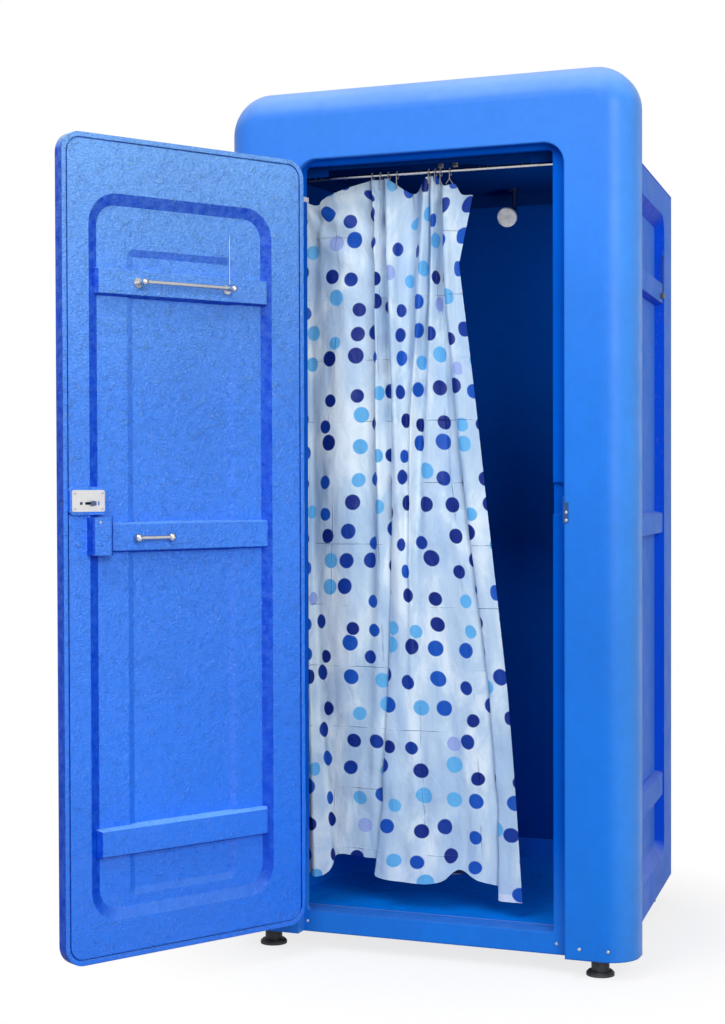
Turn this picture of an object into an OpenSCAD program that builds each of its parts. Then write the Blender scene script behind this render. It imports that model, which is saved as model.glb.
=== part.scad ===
// Portable shower cabin with an open moulded door, a hanging curtain and levelling feet.
// Millimetres. +X is to the right of somebody who faces the doorway, +Y goes into the cabin, +Z is up.
// The origin is on the ground, midway between the side walls and midway between front and back.

/* [Cabin] */
// Width across the rounded front surround
front_w = 1112; // [1100:2:1130]
// Depth from the front face to the back face
depth = 1000; // [980:5:1040]
// Height of the head of the surround above the recess
head_h = 193; // [180:1:233]
// Height of the underside of the surround above the ground
shell_z = 52; // [52:1:52]
// Depth of the surround from its face to its back edge
shell_d = 112; // [112:1:112]
// Radius of the soft front edge of the surround
edge_r = 80; // [70:1:84]
// Radius of the upper corners of the surround seen from the front
corner_r = 110; // [100:1:125]
// Thickness of the moulded surround
shell_t = 6; // [6:1:6]
// Height of the top of the walls above the walk-in opening
wall_over = 6; // [6:1:12]
// Height of the underside of the walls
wall_z = 70; // [68:1:74]
// Thickness of the walls
wall_t = 45; // [42:1:48]
// Half width over the walls at the back
wall_x = 445; // [440:1:450]
// Angle by which each side wall closes in toward the back
taper = 4.7; // [4.2:0.1:5.0]

/* [Doorway] */
// Left edge of the recess that takes the door
rec_l = -348; // [-350:1:-346]
// Right edge of the recess that takes the door
rec_r = 383; // [381:1:385]
// Top of the recess
rec_top = 2107; // [2060:1:2160]
// Depth of the recess
rec_d = 36; // [36:1:38]
// Corner radius of the recess
rec_rad = 56; // [50:1:60]
// Left edge of the walk-in opening
open_l = -338; // [-339:1:-336]
// Right edge of the walk-in opening
open_r = 344; // [342:1:346]
// Height of the lip between the walk-in opening and the top of the recess
lip_h = 13; // [12:1:16]
// Top of the sill
open_z = 108; // [107:1:110]
// Corner radius of the walk-in opening
open_rad = 12; // [10:1:14]
// Depth of the lip that runs round the walk-in opening
lip_d = 18; // [18:1:20]
// Width of the small stiffening tabs in the upper corners of the opening
tab_w = 71; // [60:1:80]
// Height of the small stiffening tabs
tab_h = 18; // [14:1:20]

/* [Door] */
// Angle by which the door stands open
door_angle = 119.6; // [90:0.1:125]
// Thickness of the door
door_t = 32; // [32:1:33]
// Gap between the door and the recess on each side
door_gap = 5; // [5:0.5:6]
// Height of the underside of the door
door_z = 90; // [86:1:94]
// Gap between the top of the door and the recess
door_head = 10; // [9:1:12]
// Corner radius of the door
door_rad = 50; // [45:1:52]
// Height of the bolt, the keeper slot and the lock above the ground
bolt_z = 1206; // [1204:1:1208]
// Travel of the bolt
bolt_travel = 16; // [12:1:18]

/* [Fittings] */
// Radius of the curtain rail
rod_r = 6; // [5:0.5:7]
// Distance of the curtain rail below the top of the walk-in opening
rod_drop = 16; // [15:1:20]
// Distance of the curtain rail behind the front face
rod_back = 148; // [145:1:155]
// Radius of the round rose
rose_r = 29.5; // [26:0.5:32]
// Radius of the foot pads
foot_r = 36; // [32:1:38]
// Downward travel of a levelling foot
foot_travel = 20; // [10:1:24]
// Main folds of the curtain
folds = 9; // [6:1:10]

/* [Hidden] */
$fn = 72;

// Clearances: seated pieces, and pieces that slide or turn
seat = 0.2;
slide = 0.3;
run = 0.05;

open_top = rec_top - lip_h;
door_top = rec_top - door_head;
hood_top = rec_top + head_h;
wall_top = open_top + wall_over;
rod_z = open_top - rod_drop;
yf = -depth / 2;
yb = depth / 2;
hw = front_w / 2;
wall_mid = (wall_z + wall_top) / 2;
ys = yf + shell_d;
bulk_t = 6;
bulk_l = open_l - 38;
bulk_r = open_r - 8;
wall_y0 = ys;
reb_y = yf + rec_d;
lip_y = reb_y + lip_d;
door_l = rec_l + door_gap;
door_r = rec_r - door_gap;
door_w = door_r - door_l;
door_h = door_top - door_z;
door_in = yf + door_t;
hinge_x = rec_l + door_gap / 2;
hinge_y = yf - 6;
hinge_zs = [door_top - 132, bolt_z - 38, door_z + 290];
leaf_h = 75;
leaf_t = 2;
knuckle_r = 5;
pin_r = 2.5;
rod_y = yf + rod_back;
beam = 40;
beam_z = shell_z + shell_t;
beam_top = beam_z + beam;
skin_t = 6;
rim_w = 12;
field_d = 12;
field_y = door_in - field_d;
batten_t = 20;
batten_y = field_y + batten_t;
rec_x0 = door_l + 104;
rec_x1 = door_r - 73;
rec_z0 = door_z + 96;
rec_z1 = door_top - 139;
low_batten_z = door_z + 248;
mid_batten_z = bolt_z - 122;
top_batten_z = door_top - 389;
grip_zs = [bolt_z - 176, bolt_z - 16];
rail_z = door_top - 353;
catch_x = door_r - 131;
keeper_x = rec_r + 5;
keeper_zs = [bolt_z - 28, bolt_z - 48];
bottom_screw_z = shell_z + 28;
bottom_screw_xs = [-hw + 62, rec_l - 72, rec_r + 37, hw - 62];
sill_screw_xs = [rec_l + 12, rec_r - 31];
side_zs = [[wall_z + 266, 76], [wall_mid + 15, 68], [wall_top - 335, 67]];
back_zs = [[wall_z + 266, 76], [wall_mid - 125, 68], [wall_top - 335, 67]];
vent_y = yf + 440;
waste_x = -120;
waste_y = 150;
inlet_z = 205;
frame_x = wall_x - 67;
foot_x = hw - 101;
foot_in = 80;
stud_r = 6;
hook_ring = 10;
wire_r = 1.1;
hook_z = rod_z + rod_r - (hook_ring - wire_r) + run;
hook_xs = [-186, -162, -139, -115, -25, -7, 8, 34];
cloth_x0 = -386;
cloth_top = hook_z - hook_ring - wire_r - 0.4;
valve_x = -180;
valve_z = 1150;
riser_y = yb + 12;
riser_top = wall_top + 72;
arm_y = yb - 145;
cloth_pin_z = rod_z - 51;

blue = [0.10, 0.38, 0.88];
navy = [0.05, 0.25, 0.68];
steel = [0.75, 0.76, 0.78];
black = [0.06, 0.06, 0.07];
white = [0.93, 0.93, 0.92];

// Outer and inner half widths between the tapered walls at depth y
function x_out(y) = wall_x + (yb - y) * tan(taper);
function x_in(y) = x_out(y) - wall_t / cos(taper);

// A shape drawn in X and Z, given thickness from y0 to y1
module sheet_y(y0, y1) {
    translate([0, y1, 0])
        rotate([90, 0, 0])
            linear_extrude(y1 - y0)
                children();
}

// Rectangle with rounded corners from corner to corner
module round_rect(x0, z0, x1, z1, r) {
    translate([x0 + r, z0])
        square([x1 - x0 - 2 * r, z1 - z0]);
    translate([x0, z0 + r])
        square([x1 - x0, z1 - z0 - 2 * r]);
    for (x = [x0 + r, x1 - r])
        for (z = [z0 + r, z1 - r])
            translate([x, z])
                circle(r);
}

// Arch outline with rounded upper corners and square lower ones
module arch(x0, z0, x1, z1, r) {
    translate([x0, z0])
        square([x1 - x0, z1 - r - z0]);
    translate([x0 + r, z1 - r - 1])
        square([x1 - x0 - 2 * r, r + 1]);
    for (x = [x0 + r, x1 - r])
        translate([x, z1 - r])
            circle(r);
}

// Pocket that narrows from a rounded mouth at y1 to a smaller rounded floor d deeper
module bevel_pocket(x0, z0, x1, z1, r, b, y1, d) {
    e = 1;
    k = b / d;
    // slopes along the sides
    translate([0, 0, z0 + r])
        linear_extrude(z1 - z0 - 2 * r)
            polygon([[x0 - k * e, y1 + e], [x1 + k * e, y1 + e], [x1 - b, y1 - d], [x0 + b, y1 - d]]);
    translate([x0 + r, 0, 0])
        rotate([90, 0, 90])
            linear_extrude(x1 - x0 - 2 * r)
                polygon([[y1 + e, z0 - k * e], [y1 + e, z1 + k * e], [y1 - d, z1 - b], [y1 - d, z0 + b]]);
    // cones in the corners
    for (x = [x0 + r, x1 - r])
        for (z = [z0 + r, z1 - r])
            translate([x, y1 + e, z])
                rotate([90, 0, 0])
                    cylinder(r1 = r + k * e, r2 = r - b, h = d + e);
}

// Bar with sloped edges that rises from y0 to y1
module batten(x0, z0, x1, z1, b, y0, y1) {
    intersection() {
        translate([0, 0, z0])
            linear_extrude(z1 - z0)
                polygon([[x0, y0], [x1, y0], [x1 - 2 * b, y1], [x0 + 2 * b, y1]]);
        translate([x0, 0, 0])
            rotate([90, 0, 90])
                linear_extrude(x1 - x0)
                    polygon([[y0, z0], [y0, z1], [y1, z1 - b], [y1, z0 + b]]);
    }
}

// Straight pipe between two points that share two coordinates
module pipe_x(x0, x1, y, z, r) {
    translate([x0, y, z])
        rotate([0, 90, 0])
            cylinder(r = r, h = x1 - x0);
}
module pipe_y(x, y0, y1, z, r) {
    translate([x, y0, z])
        rotate([-90, 0, 0])
            cylinder(r = r, h = y1 - y0);
}
module pipe_z(x, y, z0, z1, r) {
    translate([x, y, z0])
        cylinder(r = r, h = z1 - z0);
}

// Soft-edged surround before it is hollowed, drawn in by an inset
module shell_form(inset, y_back) {
    w = hw - inset;
    r = edge_r - inset;
    rc = corner_r - inset;
    z1 = hood_top - inset;
    z0 = shell_z + inset;
    y0 = yf + inset;
    intersection() {
        union() {
            // pillars
            translate([0, 0, z0])
                linear_extrude(z1 - rc - z0) {
                    translate([-w, y0 + r])
                        square([2 * w, y_back - y0 - r]);
                    translate([-w + r, y0])
                        square([2 * (w - r), r]);
                    for (s = [-1, 1])
                        translate([s * (w - r), y0 + r])
                            circle(r);
                }
            // head
            translate([-w + rc, 0, 0])
                rotate([90, 0, 90])
                    linear_extrude(2 * (w - rc)) {
                        translate([y0 + r, z1 - rc])
                            square([y_back - y0 - r, rc]);
                        translate([y0, z1 - rc])
                            square([r, rc - r]);
                        intersection() {
                            translate([y0 + r, z1 - r])
                                circle(r);
                            translate([y0, z1 - rc])
                                square([2 * r, rc]);
                        }
                    }
            // corners
            for (s = [0, 1])
                mirror([s, 0, 0])
                    translate([w - rc, 0, z1 - rc])
                        rotate([-90, 0, 0])
                            rotate([0, 0, -90])
                                rotate_extrude(angle = 90) {
                                    translate([0, y0 + r])
                                        square([rc, y_back - y0 - r]);
                                    translate([0, y0])
                                        square([rc - r, r]);
                                    intersection() {
                                        translate([rc - r, y0 + r])
                                            circle(r);
                                        translate([0, y0])
                                            square([rc, 2 * r]);
                                    }
                                }
        }
        translate([-hw - 1, yf - 1, 0])
            cube([2 * hw + 2, y_back - yf + 1, hood_top + 10]);
    }
}

// Walk-in opening outline, grown by g
module opening_shape(g) {
    round_rect(open_l - g, open_z - g, open_r + g, open_top + g, open_rad + g);
}
// Wider opening behind it, with the tabs left standing in its upper corners
module tabbed_opening() {
    difference() {
        round_rect(bulk_l, open_z, bulk_r, open_top, open_rad);
        translate([bulk_l - 1, open_top - tab_h])
            square([tab_w + 7, tab_h + 1]);
        translate([bulk_r - tab_w, open_top - tab_h])
            square([tab_w + 1, tab_h + 1]);
    }
}

// Relief in the lip that the lock enters when the door is shut
relief_y = door_in + 13;
module lock_relief(g) {
    round_rect(open_r - 20, bolt_z - 34 - g, lock_x + 57 + g, bolt_z + 46 + g, 8 + g);
}

module front_shell() {
    color(blue)
        difference() {
            union() {
                difference() {
                    shell_form(0, ys);
                    shell_form(shell_t, ys + 5);
                }
                // walls of the recess and the flange behind the door
                sheet_y(yf, reb_y + shell_t)
                    arch(rec_l - shell_t, shell_z, rec_r + shell_t, rec_top + shell_t, rec_rad + shell_t);
                // lip around the opening
                sheet_y(reb_y, lip_y)
                    opening_shape(shell_t);
                // ledge behind the sill
                translate([bulk_l - shell_t, reb_y + 1, open_z - shell_t])
                    cube([bulk_r - bulk_l + 2 * shell_t, ys - bulk_t - reb_y - 1, shell_t]);
                // housing of the relief for the lock
                sheet_y(reb_y + 1, relief_y + shell_t)
                    lock_relief(shell_t);
            }
            sheet_y(yf - 1, reb_y)
                arch(rec_l, shell_z - 20, rec_r, rec_top, rec_rad);
            sheet_y(reb_y - 1, ys + 1)
                opening_shape(0);
            sheet_y(reb_y - 1, relief_y)
                lock_relief(0);
            // slot for the bolt in the wall of the recess
            translate([rec_r - 1, door_in - 12 - slide - 1, bolt_z - 7])
                cube([shell_t + 2, 10, 14]);
            // holes for the screws of the keeper plate
            for (z = keeper_zs)
                pipe_y(keeper_x, yf - 1, yf + 13, z, 2 + run);
            // holes for the screws along the bottom edge
            for (x = bottom_screw_xs)
                pipe_y(x, yf - 1, yf + 40, bottom_screw_z, 2 + run);
            for (x = sill_screw_xs)
                pipe_y(x, reb_y - 1, reb_y + shell_t + 1, bottom_screw_z, 2 + run);
            // holes for the foot studs
            for (x = [-foot_x, foot_x])
                pipe_z(x, yf + foot_in, shell_z - 1, beam_z + 1, 14);
        }
}

module bulkhead() {
    g = shell_t + seat;
    color(navy)
        difference() {
            sheet_y(ys - bulk_t, ys)
                arch(-hw + g, beam_z + seat, hw - g, hood_top - g, corner_r - g);
            sheet_y(ys - bulk_t - 1, ys + 1)
                tabbed_opening();
            for (s = [-1, 1])
                translate([s * frame_x - beam / 2 - slide, ys - bulk_t - 1, 0])
                    cube([beam + 2 * slide, bulk_t + 2, beam_top + slide]);
        }
}

// Right-hand side wall, which closes in toward the back
module side_slab(x0, x1, z0, z1) {
    intersection() {
        translate([wall_x, yb, 0])
            rotate([0, 0, taper])
                translate([x0, -depth * 1.1, z0])
                    cube([x1 - x0, depth * 1.2, z1 - z0]);
        translate([0, wall_y0, 0])
            cube([hw, yb - wall_y0, hood_top]);
    }
}
// Turns a shape drawn like a panel seen from its front into the plane of the right wall
module on_side() {
    translate([wall_x, yb, 0])
        rotate([0, 0, taper])
            rotate([0, 0, -90])
                children();
}
side_len = (yb - wall_y0) / cos(taper);
module side_wall() {
    difference() {
        side_slab(-wall_t, 0, wall_z, wall_top);
        on_side()
            mirror([1, 0, 0])
                bevel_pocket(-side_len + 163, wall_z + 93, -163, wall_top - 75, 50, 36, 0, 24);
    }
}
module side_battens() {
    on_side()
        mirror([1, 0, 0])
            for (z = side_zs)
                batten(-side_len + 176, z[0], -176, z[0] + z[1], 6, -24, -2);
}
// The panel drawing plane is X along, Z up and outward at +Y, so it is mirrored onto the wall
module side_battens_cut() {
    difference() {
        side_battens();
        side_wall();
    }
}
module right_wall() {
    color(blue)
        side_wall();
}
module left_wall() {
    color(blue)
        mirror([1, 0, 0])
            side_wall();
}
module right_battens() {
    color(blue)
        side_battens_cut();
}
module left_battens() {
    color(blue)
        mirror([1, 0, 0])
            side_battens_cut();
}

module back_wall_form() {
    difference() {
        translate([0, 0, wall_z])
            linear_extrude(wall_top - wall_z)
                polygon([
                    [-x_in(yb) + seat, yb], [x_in(yb) - seat, yb],
                    [x_in(yb - wall_t) - seat, yb - wall_t], [-x_in(yb - wall_t) + seat, yb - wall_t]
                ]);
        bevel_pocket(155 - wall_x, wall_z + 93, wall_x - 155, wall_top - 75, 50, 36, yb, 24);
        pipe_y(valve_x, yb - wall_t - 1, yb + 1, valve_z, 10);
    }
}
module back_wall() {
    color(blue)
        back_wall_form();
}
module back_battens() {
    color(blue)
        difference() {
            for (z = back_zs)
                batten(168 - wall_x, z[0], wall_x - 168, z[0] + z[1], 6, yb - 24, yb - 2);
            back_wall_form();
        }
}

// Plan of the outer walls drawn in by an inset
module plan(i, y0, y1) {
    polygon([
        [-x_out(y0) + i, y0], [x_out(y0) - i, y0], [x_out(y1) - i, y1], [-x_out(y1) + i, y1]
    ]);
}
module roof_cap() {
    color(blue)
        difference() {
            union() {
                translate([0, 0, wall_top])
                    linear_extrude(5)
                        plan(0, wall_y0, yb);
                translate([0, 0, wall_top])
                    linear_extrude(40)
                        plan(wall_t, wall_y0, yb - wall_t);
            }
            translate([0, 0, wall_top - 1])
                linear_extrude(36)
                    plan(wall_t + 5, wall_y0 + 8, yb - wall_t - 5);
            pipe_z(0, arm_y, wall_top, wall_top + 50, 8.5 + slide);
            pipe_z(0, vent_y, wall_top, wall_top + 50, 50 + slide);
        }
}
module roof_vent() {
    z0 = wall_top + 40;
    color(blue)
        difference() {
            union() {
                pipe_z(0, vent_y, wall_top + 30, z0 + 34, 50);
                pipe_z(0, vent_y, z0, z0 + 4, 62);
                pipe_z(0, vent_y, z0 + 44, z0 + 50, 74);
                translate([-48, vent_y - 2, z0 + 30])
                    cube([96, 4, 16]);
                translate([-2, vent_y - 48, z0 + 30])
                    cube([4, 96, 16]);
            }
            difference() {
                pipe_z(0, vent_y, wall_top + 20, z0 + 35, 46);
                translate([-48, vent_y - 2, z0 + 30])
                    cube([96, 4, 16]);
                translate([-2, vent_y - 48, z0 + 30])
                    cube([4, 96, 16]);
            }
        }
}

module tray_plan(i) {
    y0 = wall_y0 + seat + i;
    y1 = yb - wall_t - seat - i;
    polygon([
        [-x_in(y0) + seat + i, y0], [x_in(y0) - seat - i, y0],
        [x_in(y1) - seat - i, y1], [-x_in(y1) + seat + i, y1]
    ]);
}
module floor_tray() {
    color(blue)
        difference() {
            translate([0, 0, beam_top])
                linear_extrude(59)
                    tray_plan(0);
            translate([0, 0, beam_top + 6])
                linear_extrude(60)
                    tray_plan(6);
            // lower edge at the doorway
            translate([-hw, wall_y0 - 1, open_z])
                cube([2 * hw, 8, 100]);
            pipe_z(waste_x, waste_y, beam_top - 1, beam_top + 10, 30);
        }
}
module drain_grate() {
    color(steel)
        difference() {
            union() {
                pipe_z(waste_x, waste_y, beam_top + 6, beam_top + 9, 40);
                pipe_z(waste_x, waste_y, beam_top + 1, beam_top + 7, 29.6);
            }
            for (i = [-3:3])
                translate([waste_x + i * 7.5 - 1.5, waste_y - 20, beam_top])
                    cube([3, 40, 12]);
        }
}
module waste_pipe() {
    color(black)
        difference() {
            union() {
                pipe_z(waste_x, waste_y, beam_top - 6, beam_top, 42);
                pipe_z(waste_x, waste_y, 18, beam_top - 5, 20);
                pipe_z(waste_x, waste_y, 76, beam_top - 5, 30);
            }
            pipe_z(waste_x, waste_y, 17, beam_top - 10, 17);
            pipe_z(waste_x, waste_y, 82, beam_top + 1, 26);
        }
}

// Square tubes of the base
module beam_x(x0, x1, y, t) {
    translate([x0, y - beam / 2 + t, beam_z + t])
        cube([x1 - x0, beam - 2 * t, beam - 2 * t]);
}
module beam_y(x, y0, y1, t) {
    translate([x - beam / 2 + t, y0, beam_z + t])
        cube([beam - 2 * t, y1 - y0, beam - 2 * t]);
}
foot_pts = [[-foot_x, yf + foot_in], [foot_x, yf + foot_in], [-frame_x, yb - 78], [frame_x, yb - 78]];
module base_frame() {
    t = 3;
    y_end = yb - wall_t - 1;
    y_front = yf + foot_in;
    color(black)
        difference() {
            union() {
                difference() {
                    union() {
                        beam_x(16 - hw, hw - 16, y_front, 0);
                        for (x = [-frame_x, frame_x])
                            beam_y(x, y_front, y_end, 0);
                        beam_x(-frame_x, frame_x, y_end - beam / 2, 0);
                        beam_x(-frame_x, frame_x, 0, 0);
                    }
                    beam_x(15 - hw, hw - 15, y_front, t);
                    for (x = [-frame_x, frame_x])
                        beam_y(x, y_front, y_end + 1, t);
                    beam_x(-frame_x, frame_x, y_end - beam / 2, t);
                    beam_x(-frame_x, frame_x, 0, t);
                }
                for (p = foot_pts)
                    pipe_z(p[0], p[1], beam_z, beam_top - 2, 11);
            }
            for (p = foot_pts)
                pipe_z(p[0], p[1], beam_z - 1, beam_top - 1, stud_r + run);
        }
}

// Hinges with three knuckles on a fixed pin
module knuckle_at(z0, z1, r) {
    pipe_z(hinge_x, hinge_y, z0, z1, r);
}
module hinge_frame_leaves() {
    h3 = leaf_h / 3;
    color(steel)
        for (z = hinge_zs)
            difference() {
                union() {
                    translate([rec_l, hinge_y, z - leaf_h / 2])
                        cube([leaf_t, 38, leaf_h]);
                    knuckle_at(z - leaf_h / 2, z - h3 / 2 - 0.2, knuckle_r);
                    knuckle_at(z + h3 / 2 + 0.2, z + leaf_h / 2, knuckle_r);
                }
                knuckle_at(z - h3 / 2 - 0.2, z + h3 / 2 + 0.2, knuckle_r + 0.6);
                knuckle_at(z - leaf_h, z + leaf_h, pin_r + 0.02);
            }
}
module hinge_door_leaves_closed() {
    h3 = leaf_h / 3;
    for (z = hinge_zs)
        difference() {
            union() {
                translate([door_l - leaf_t, hinge_y, z - leaf_h / 2])
                    cube([leaf_t, 36, leaf_h]);
                knuckle_at(z - h3 / 2, z + h3 / 2, knuckle_r);
            }
            knuckle_at(z - leaf_h, z - h3 / 2, knuckle_r + 0.6);
            knuckle_at(z + h3 / 2, z + leaf_h, knuckle_r + 0.6);
            knuckle_at(z - leaf_h, z + leaf_h, pin_r + run);
        }
}
module hinge_pins() {
    color(steel)
        for (z = hinge_zs) {
            knuckle_at(z - leaf_h / 2 - 1, z + leaf_h / 2 + 0.2, pin_r);
            knuckle_at(z + leaf_h / 2 + 0.2, z + leaf_h / 2 + 3, 4);
        }
}

module strike_plate() {
    color(steel)
        difference() {
            union() {
                translate([rec_r - 2.5, yf - 1.6, bolt_z - 55])
                    cube([13, 1.6, 52]);
                translate([rec_r - 2.5, yf - 1.6, bolt_z - 55])
                    cube([2.5, rec_d + 1.1, 66]);
            }
            translate([rec_r - 4, door_in - 12 - slide - 1, bolt_z - 7])
                cube([6, 10, 14]);
            for (z = keeper_zs)
                pipe_y(keeper_x, yf - 3, yf + 1, z, 2 + run);
        }
}
module screw_y(x, y, z, len, r) {
    pipe_y(x, y - 0.2, y + len, z, r);
    pipe_y(x, y - 1.6, y, z, 2 * r);
}
module strike_screws() {
    color(steel)
        for (z = keeper_zs)
            screw_y(keeper_x, yf - 1.6, z, 12, 2);
}
module shell_screws() {
    color(steel) {
        for (x = bottom_screw_xs)
            screw_y(x, yf, bottom_screw_z, 12, 2);
        for (x = sill_screw_xs)
            screw_y(x, reb_y, bottom_screw_z, 12, 2);
    }
}

module inner_trim() {
    intersection() {
        children();
        translate([0, 0, 1000])
            linear_extrude(1500)
                polygon([
                    [-x_in(wall_y0), wall_y0], [x_in(wall_y0), wall_y0],
                    [x_in(yb), yb], [-x_in(yb), yb]
                ]);
    }
}
module curtain_rod() {
    color(steel)
        pipe_x(-x_in(rod_y) + 4, x_in(rod_y) - 4, rod_y, rod_z, rod_r);
}
module rod_flanges() {
    color(steel)
        difference() {
            inner_trim()
                for (s = [-1, 1]) {
                    translate([s * x_in(rod_y), rod_y, rod_z])
                        rotate([0, 0, s * taper])
                            rotate([0, 90, 0])
                                cylinder(r = 19, h = 10, center = true);
                    translate([s * (x_in(rod_y) - 8), rod_y, rod_z])
                        rotate([0, 90, 0])
                            cylinder(r = 10, h = 24, center = true);
                }
            pipe_x(-x_in(rod_y) + 3.5, x_in(rod_y) - 3.5, rod_y, rod_z, rod_r + 0.1);
        }
}
module ceiling_clips() {
    z1 = wall_top + 35;
    color([0.80, 0.72, 0.60])
        for (x = [-62, -20])
            difference() {
                translate([x - 6, yf + 344, z1 - 11])
                    cube([12, 12, 11]);
                pipe_x(x - 7, x + 7, yf + 350, z1 - 6, 2.5);
            }
}
// Clip gripped round the lip, with an arm that ends at the corner of the curtain
peg_z = cloth_pin_z - 19;
peg_a = [open_l - 3, lip_y + 1, peg_z];
peg_b = [cloth_x0, rod_y - 3.6, cloth_pin_z - 5];
module corner_peg() {
    d = peg_b - peg_a;
    color(white) {
        translate([open_l - 7.5, reb_y - 2, peg_z - 6.5])
            cube([11, 2, 13]);
        translate([open_l, reb_y - 1, peg_z - 6.5])
            cube([3.5, lip_d + 4, 13]);
        translate([open_l - 9, lip_y, peg_z - 6.5])
            cube([12.5, 3, 13]);
        translate(peg_a)
            rotate([0, 0, atan2(d[1], d[0])])
                rotate([0, 90 - atan2(d[2], norm([d[0], d[1]])), 0])
                    cylinder(r = 2, h = norm(d));
        translate(peg_b)
            sphere(2.4);
    }
}

// Ceiling outlet: a short drop, a bend toward the doorway and a ball
bend_r = 25;
bend_z = wall_top - 15;
arm_a = 72;
arm_run = 34;
ball_y = arm_y - bend_r + bend_r * cos(arm_a) - (arm_run + 7) * sin(arm_a);
ball_z = bend_z - bend_r * sin(arm_a) - (arm_run + 7) * cos(arm_a);
module shower_arm() {
    color(steel) {
        pipe_z(0, arm_y, bend_z - 1, wall_top + 52, 6.5);
        pipe_z(0, arm_y, wall_top + 31, wall_top + 35, 20);
        translate([0, arm_y - bend_r, bend_z])
            rotate([90, 0, 90])
                rotate([0, 0, -arm_a])
                    rotate_extrude(angle = arm_a)
                        translate([bend_r, 0])
                            circle(6);
        translate([0, arm_y - bend_r + bend_r * cos(arm_a), bend_z - bend_r * sin(arm_a)])
            rotate([180 - arm_a, 0, 0])
                translate([0, 0, -1])
                    cylinder(r = 5.5, h = arm_run + 1);
        translate([0, ball_y, ball_z])
            sphere(8);
    }
}
module shower_rose() {
    color(white)
        translate([0, ball_y, ball_z])
            rotate([180 - arm_a, 0, 0])
                difference() {
                    union() {
                        translate([0, 0, -3])
                            cylinder(r = 11, h = 14);
                        translate([0, 0, 11])
                            cylinder(r1 = 11, r2 = rose_r, h = 8);
                        translate([0, 0, 19])
                            cylinder(r = rose_r, h = 8);
                        translate([0, 0, 27])
                            cylinder(r1 = rose_r, r2 = rose_r - 3, h = 3);
                    }
                    sphere(8 + run);
                    translate([0, 0, -20])
                        cylinder(r = 8.6, h = 18);
                    translate([0, 0, 28.6])
                        cylinder(r = 20, h = 3);
                    // spray holes
                    for (ring = [[6, 6.5], [10, 12.5], [14, 17.5]])
                        for (a = [0:360 / ring[0]:359])
                            rotate([0, 0, a])
                                translate([ring[1] - 0.5, 0, 25])
                                    cylinder(r = 0.8, h = 6, $fn = 12);
                }
}

// Outside water line: up the back, over the roof and down to the outlet
module supply_pipe() {
    r = 7.5;
    color(steel) {
        pipe_z(valve_x, riser_y, inlet_z + 45, riser_top, r);
        pipe_y(valve_x, arm_y, riser_y, riser_top, r);
        pipe_x(valve_x, 0, arm_y, riser_top, r);
        pipe_z(0, arm_y, wall_top + 52, riser_top, r);
        for (p = [[valve_x, riser_y], [valve_x, arm_y], [0, arm_y]])
            translate([p[0], p[1], riser_top])
                sphere(r + 1.5);
        pipe_y(valve_x, yb - wall_t - 2, riser_y, valve_z, r);
        translate([valve_x, riser_y, valve_z])
            sphere(r + 1.5);
    }
}
module water_inlet() {
    color([0.80, 0.66, 0.35])
        difference() {
            union() {
                pipe_z(valve_x, riser_y, inlet_z, inlet_z + 27, 10.45);
                translate([valve_x, riser_y, inlet_z + 27])
                    cylinder(r = 14, h = 16, $fn = 6);
                pipe_z(valve_x, riser_y, inlet_z + 41, inlet_z + 57, 10.5);
            }
            pipe_z(valve_x, riser_y, inlet_z - 1, inlet_z + 46, 6.5);
            pipe_z(valve_x, riser_y, inlet_z + 45, inlet_z + 58, 7.6);
        }
}
module pipe_clips() {
    color(steel)
        for (z = [wall_z + 380, wall_mid - 25, wall_top - 410])
            difference() {
                union() {
                    pipe_z(valve_x, riser_y, z - 8, z + 8, 10);
                    translate([valve_x - 4, yb - 24, z - 8])
                        cube([8, riser_y - 6 - yb + 24, 16]);
                    translate([valve_x - 16, yb - 24, z - 8])
                        cube([32, 3, 16]);
                }
                pipe_z(valve_x, riser_y, z - 9, z + 9, 7.6);
            }
}
module valve_body() {
    y1 = yb - wall_t;
    color(steel)
        difference() {
            union() {
                pipe_y(valve_x, y1 - 6, y1, valve_z, 34);
                pipe_y(valve_x, y1 - 46, y1 - 6, valve_z, 22);
                pipe_y(valve_x, y1 - 60, y1 - 46, valve_z, 6);
            }
            pipe_y(valve_x, y1 - 20, y1 + 1, valve_z, 7.6);
        }
}
module valve_lever() {
    y1 = yb - wall_t - 47;
    color(steel)
        difference() {
            union() {
                pipe_y(valve_x, y1 - 16, y1, valve_z, 16);
                translate([valve_x - 5, y1 - 14, valve_z - 78])
                    cube([10, 8, 78]);
                translate([valve_x, y1 - 10, valve_z - 78])
                    sphere(9);
            }
            pipe_y(valve_x, y1 - 13.2, y1 + 1, valve_z, 6 + run);
        }
}

// Clip with an upright wire at the rear end of the upper side batten
module side_hook() {
    color(black)
        on_side()
            mirror([1, 0, 0])
                union() {
                    translate([-236, -2, wall_top - 318])
                        cube([30, 9, 14]);
                    translate([-212, 3, wall_top - 310])
                        cylinder(r = 1.6, h = 114);
                    translate([-212, 3, wall_top - 196])
                        sphere(2.6);
                }
}

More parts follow.
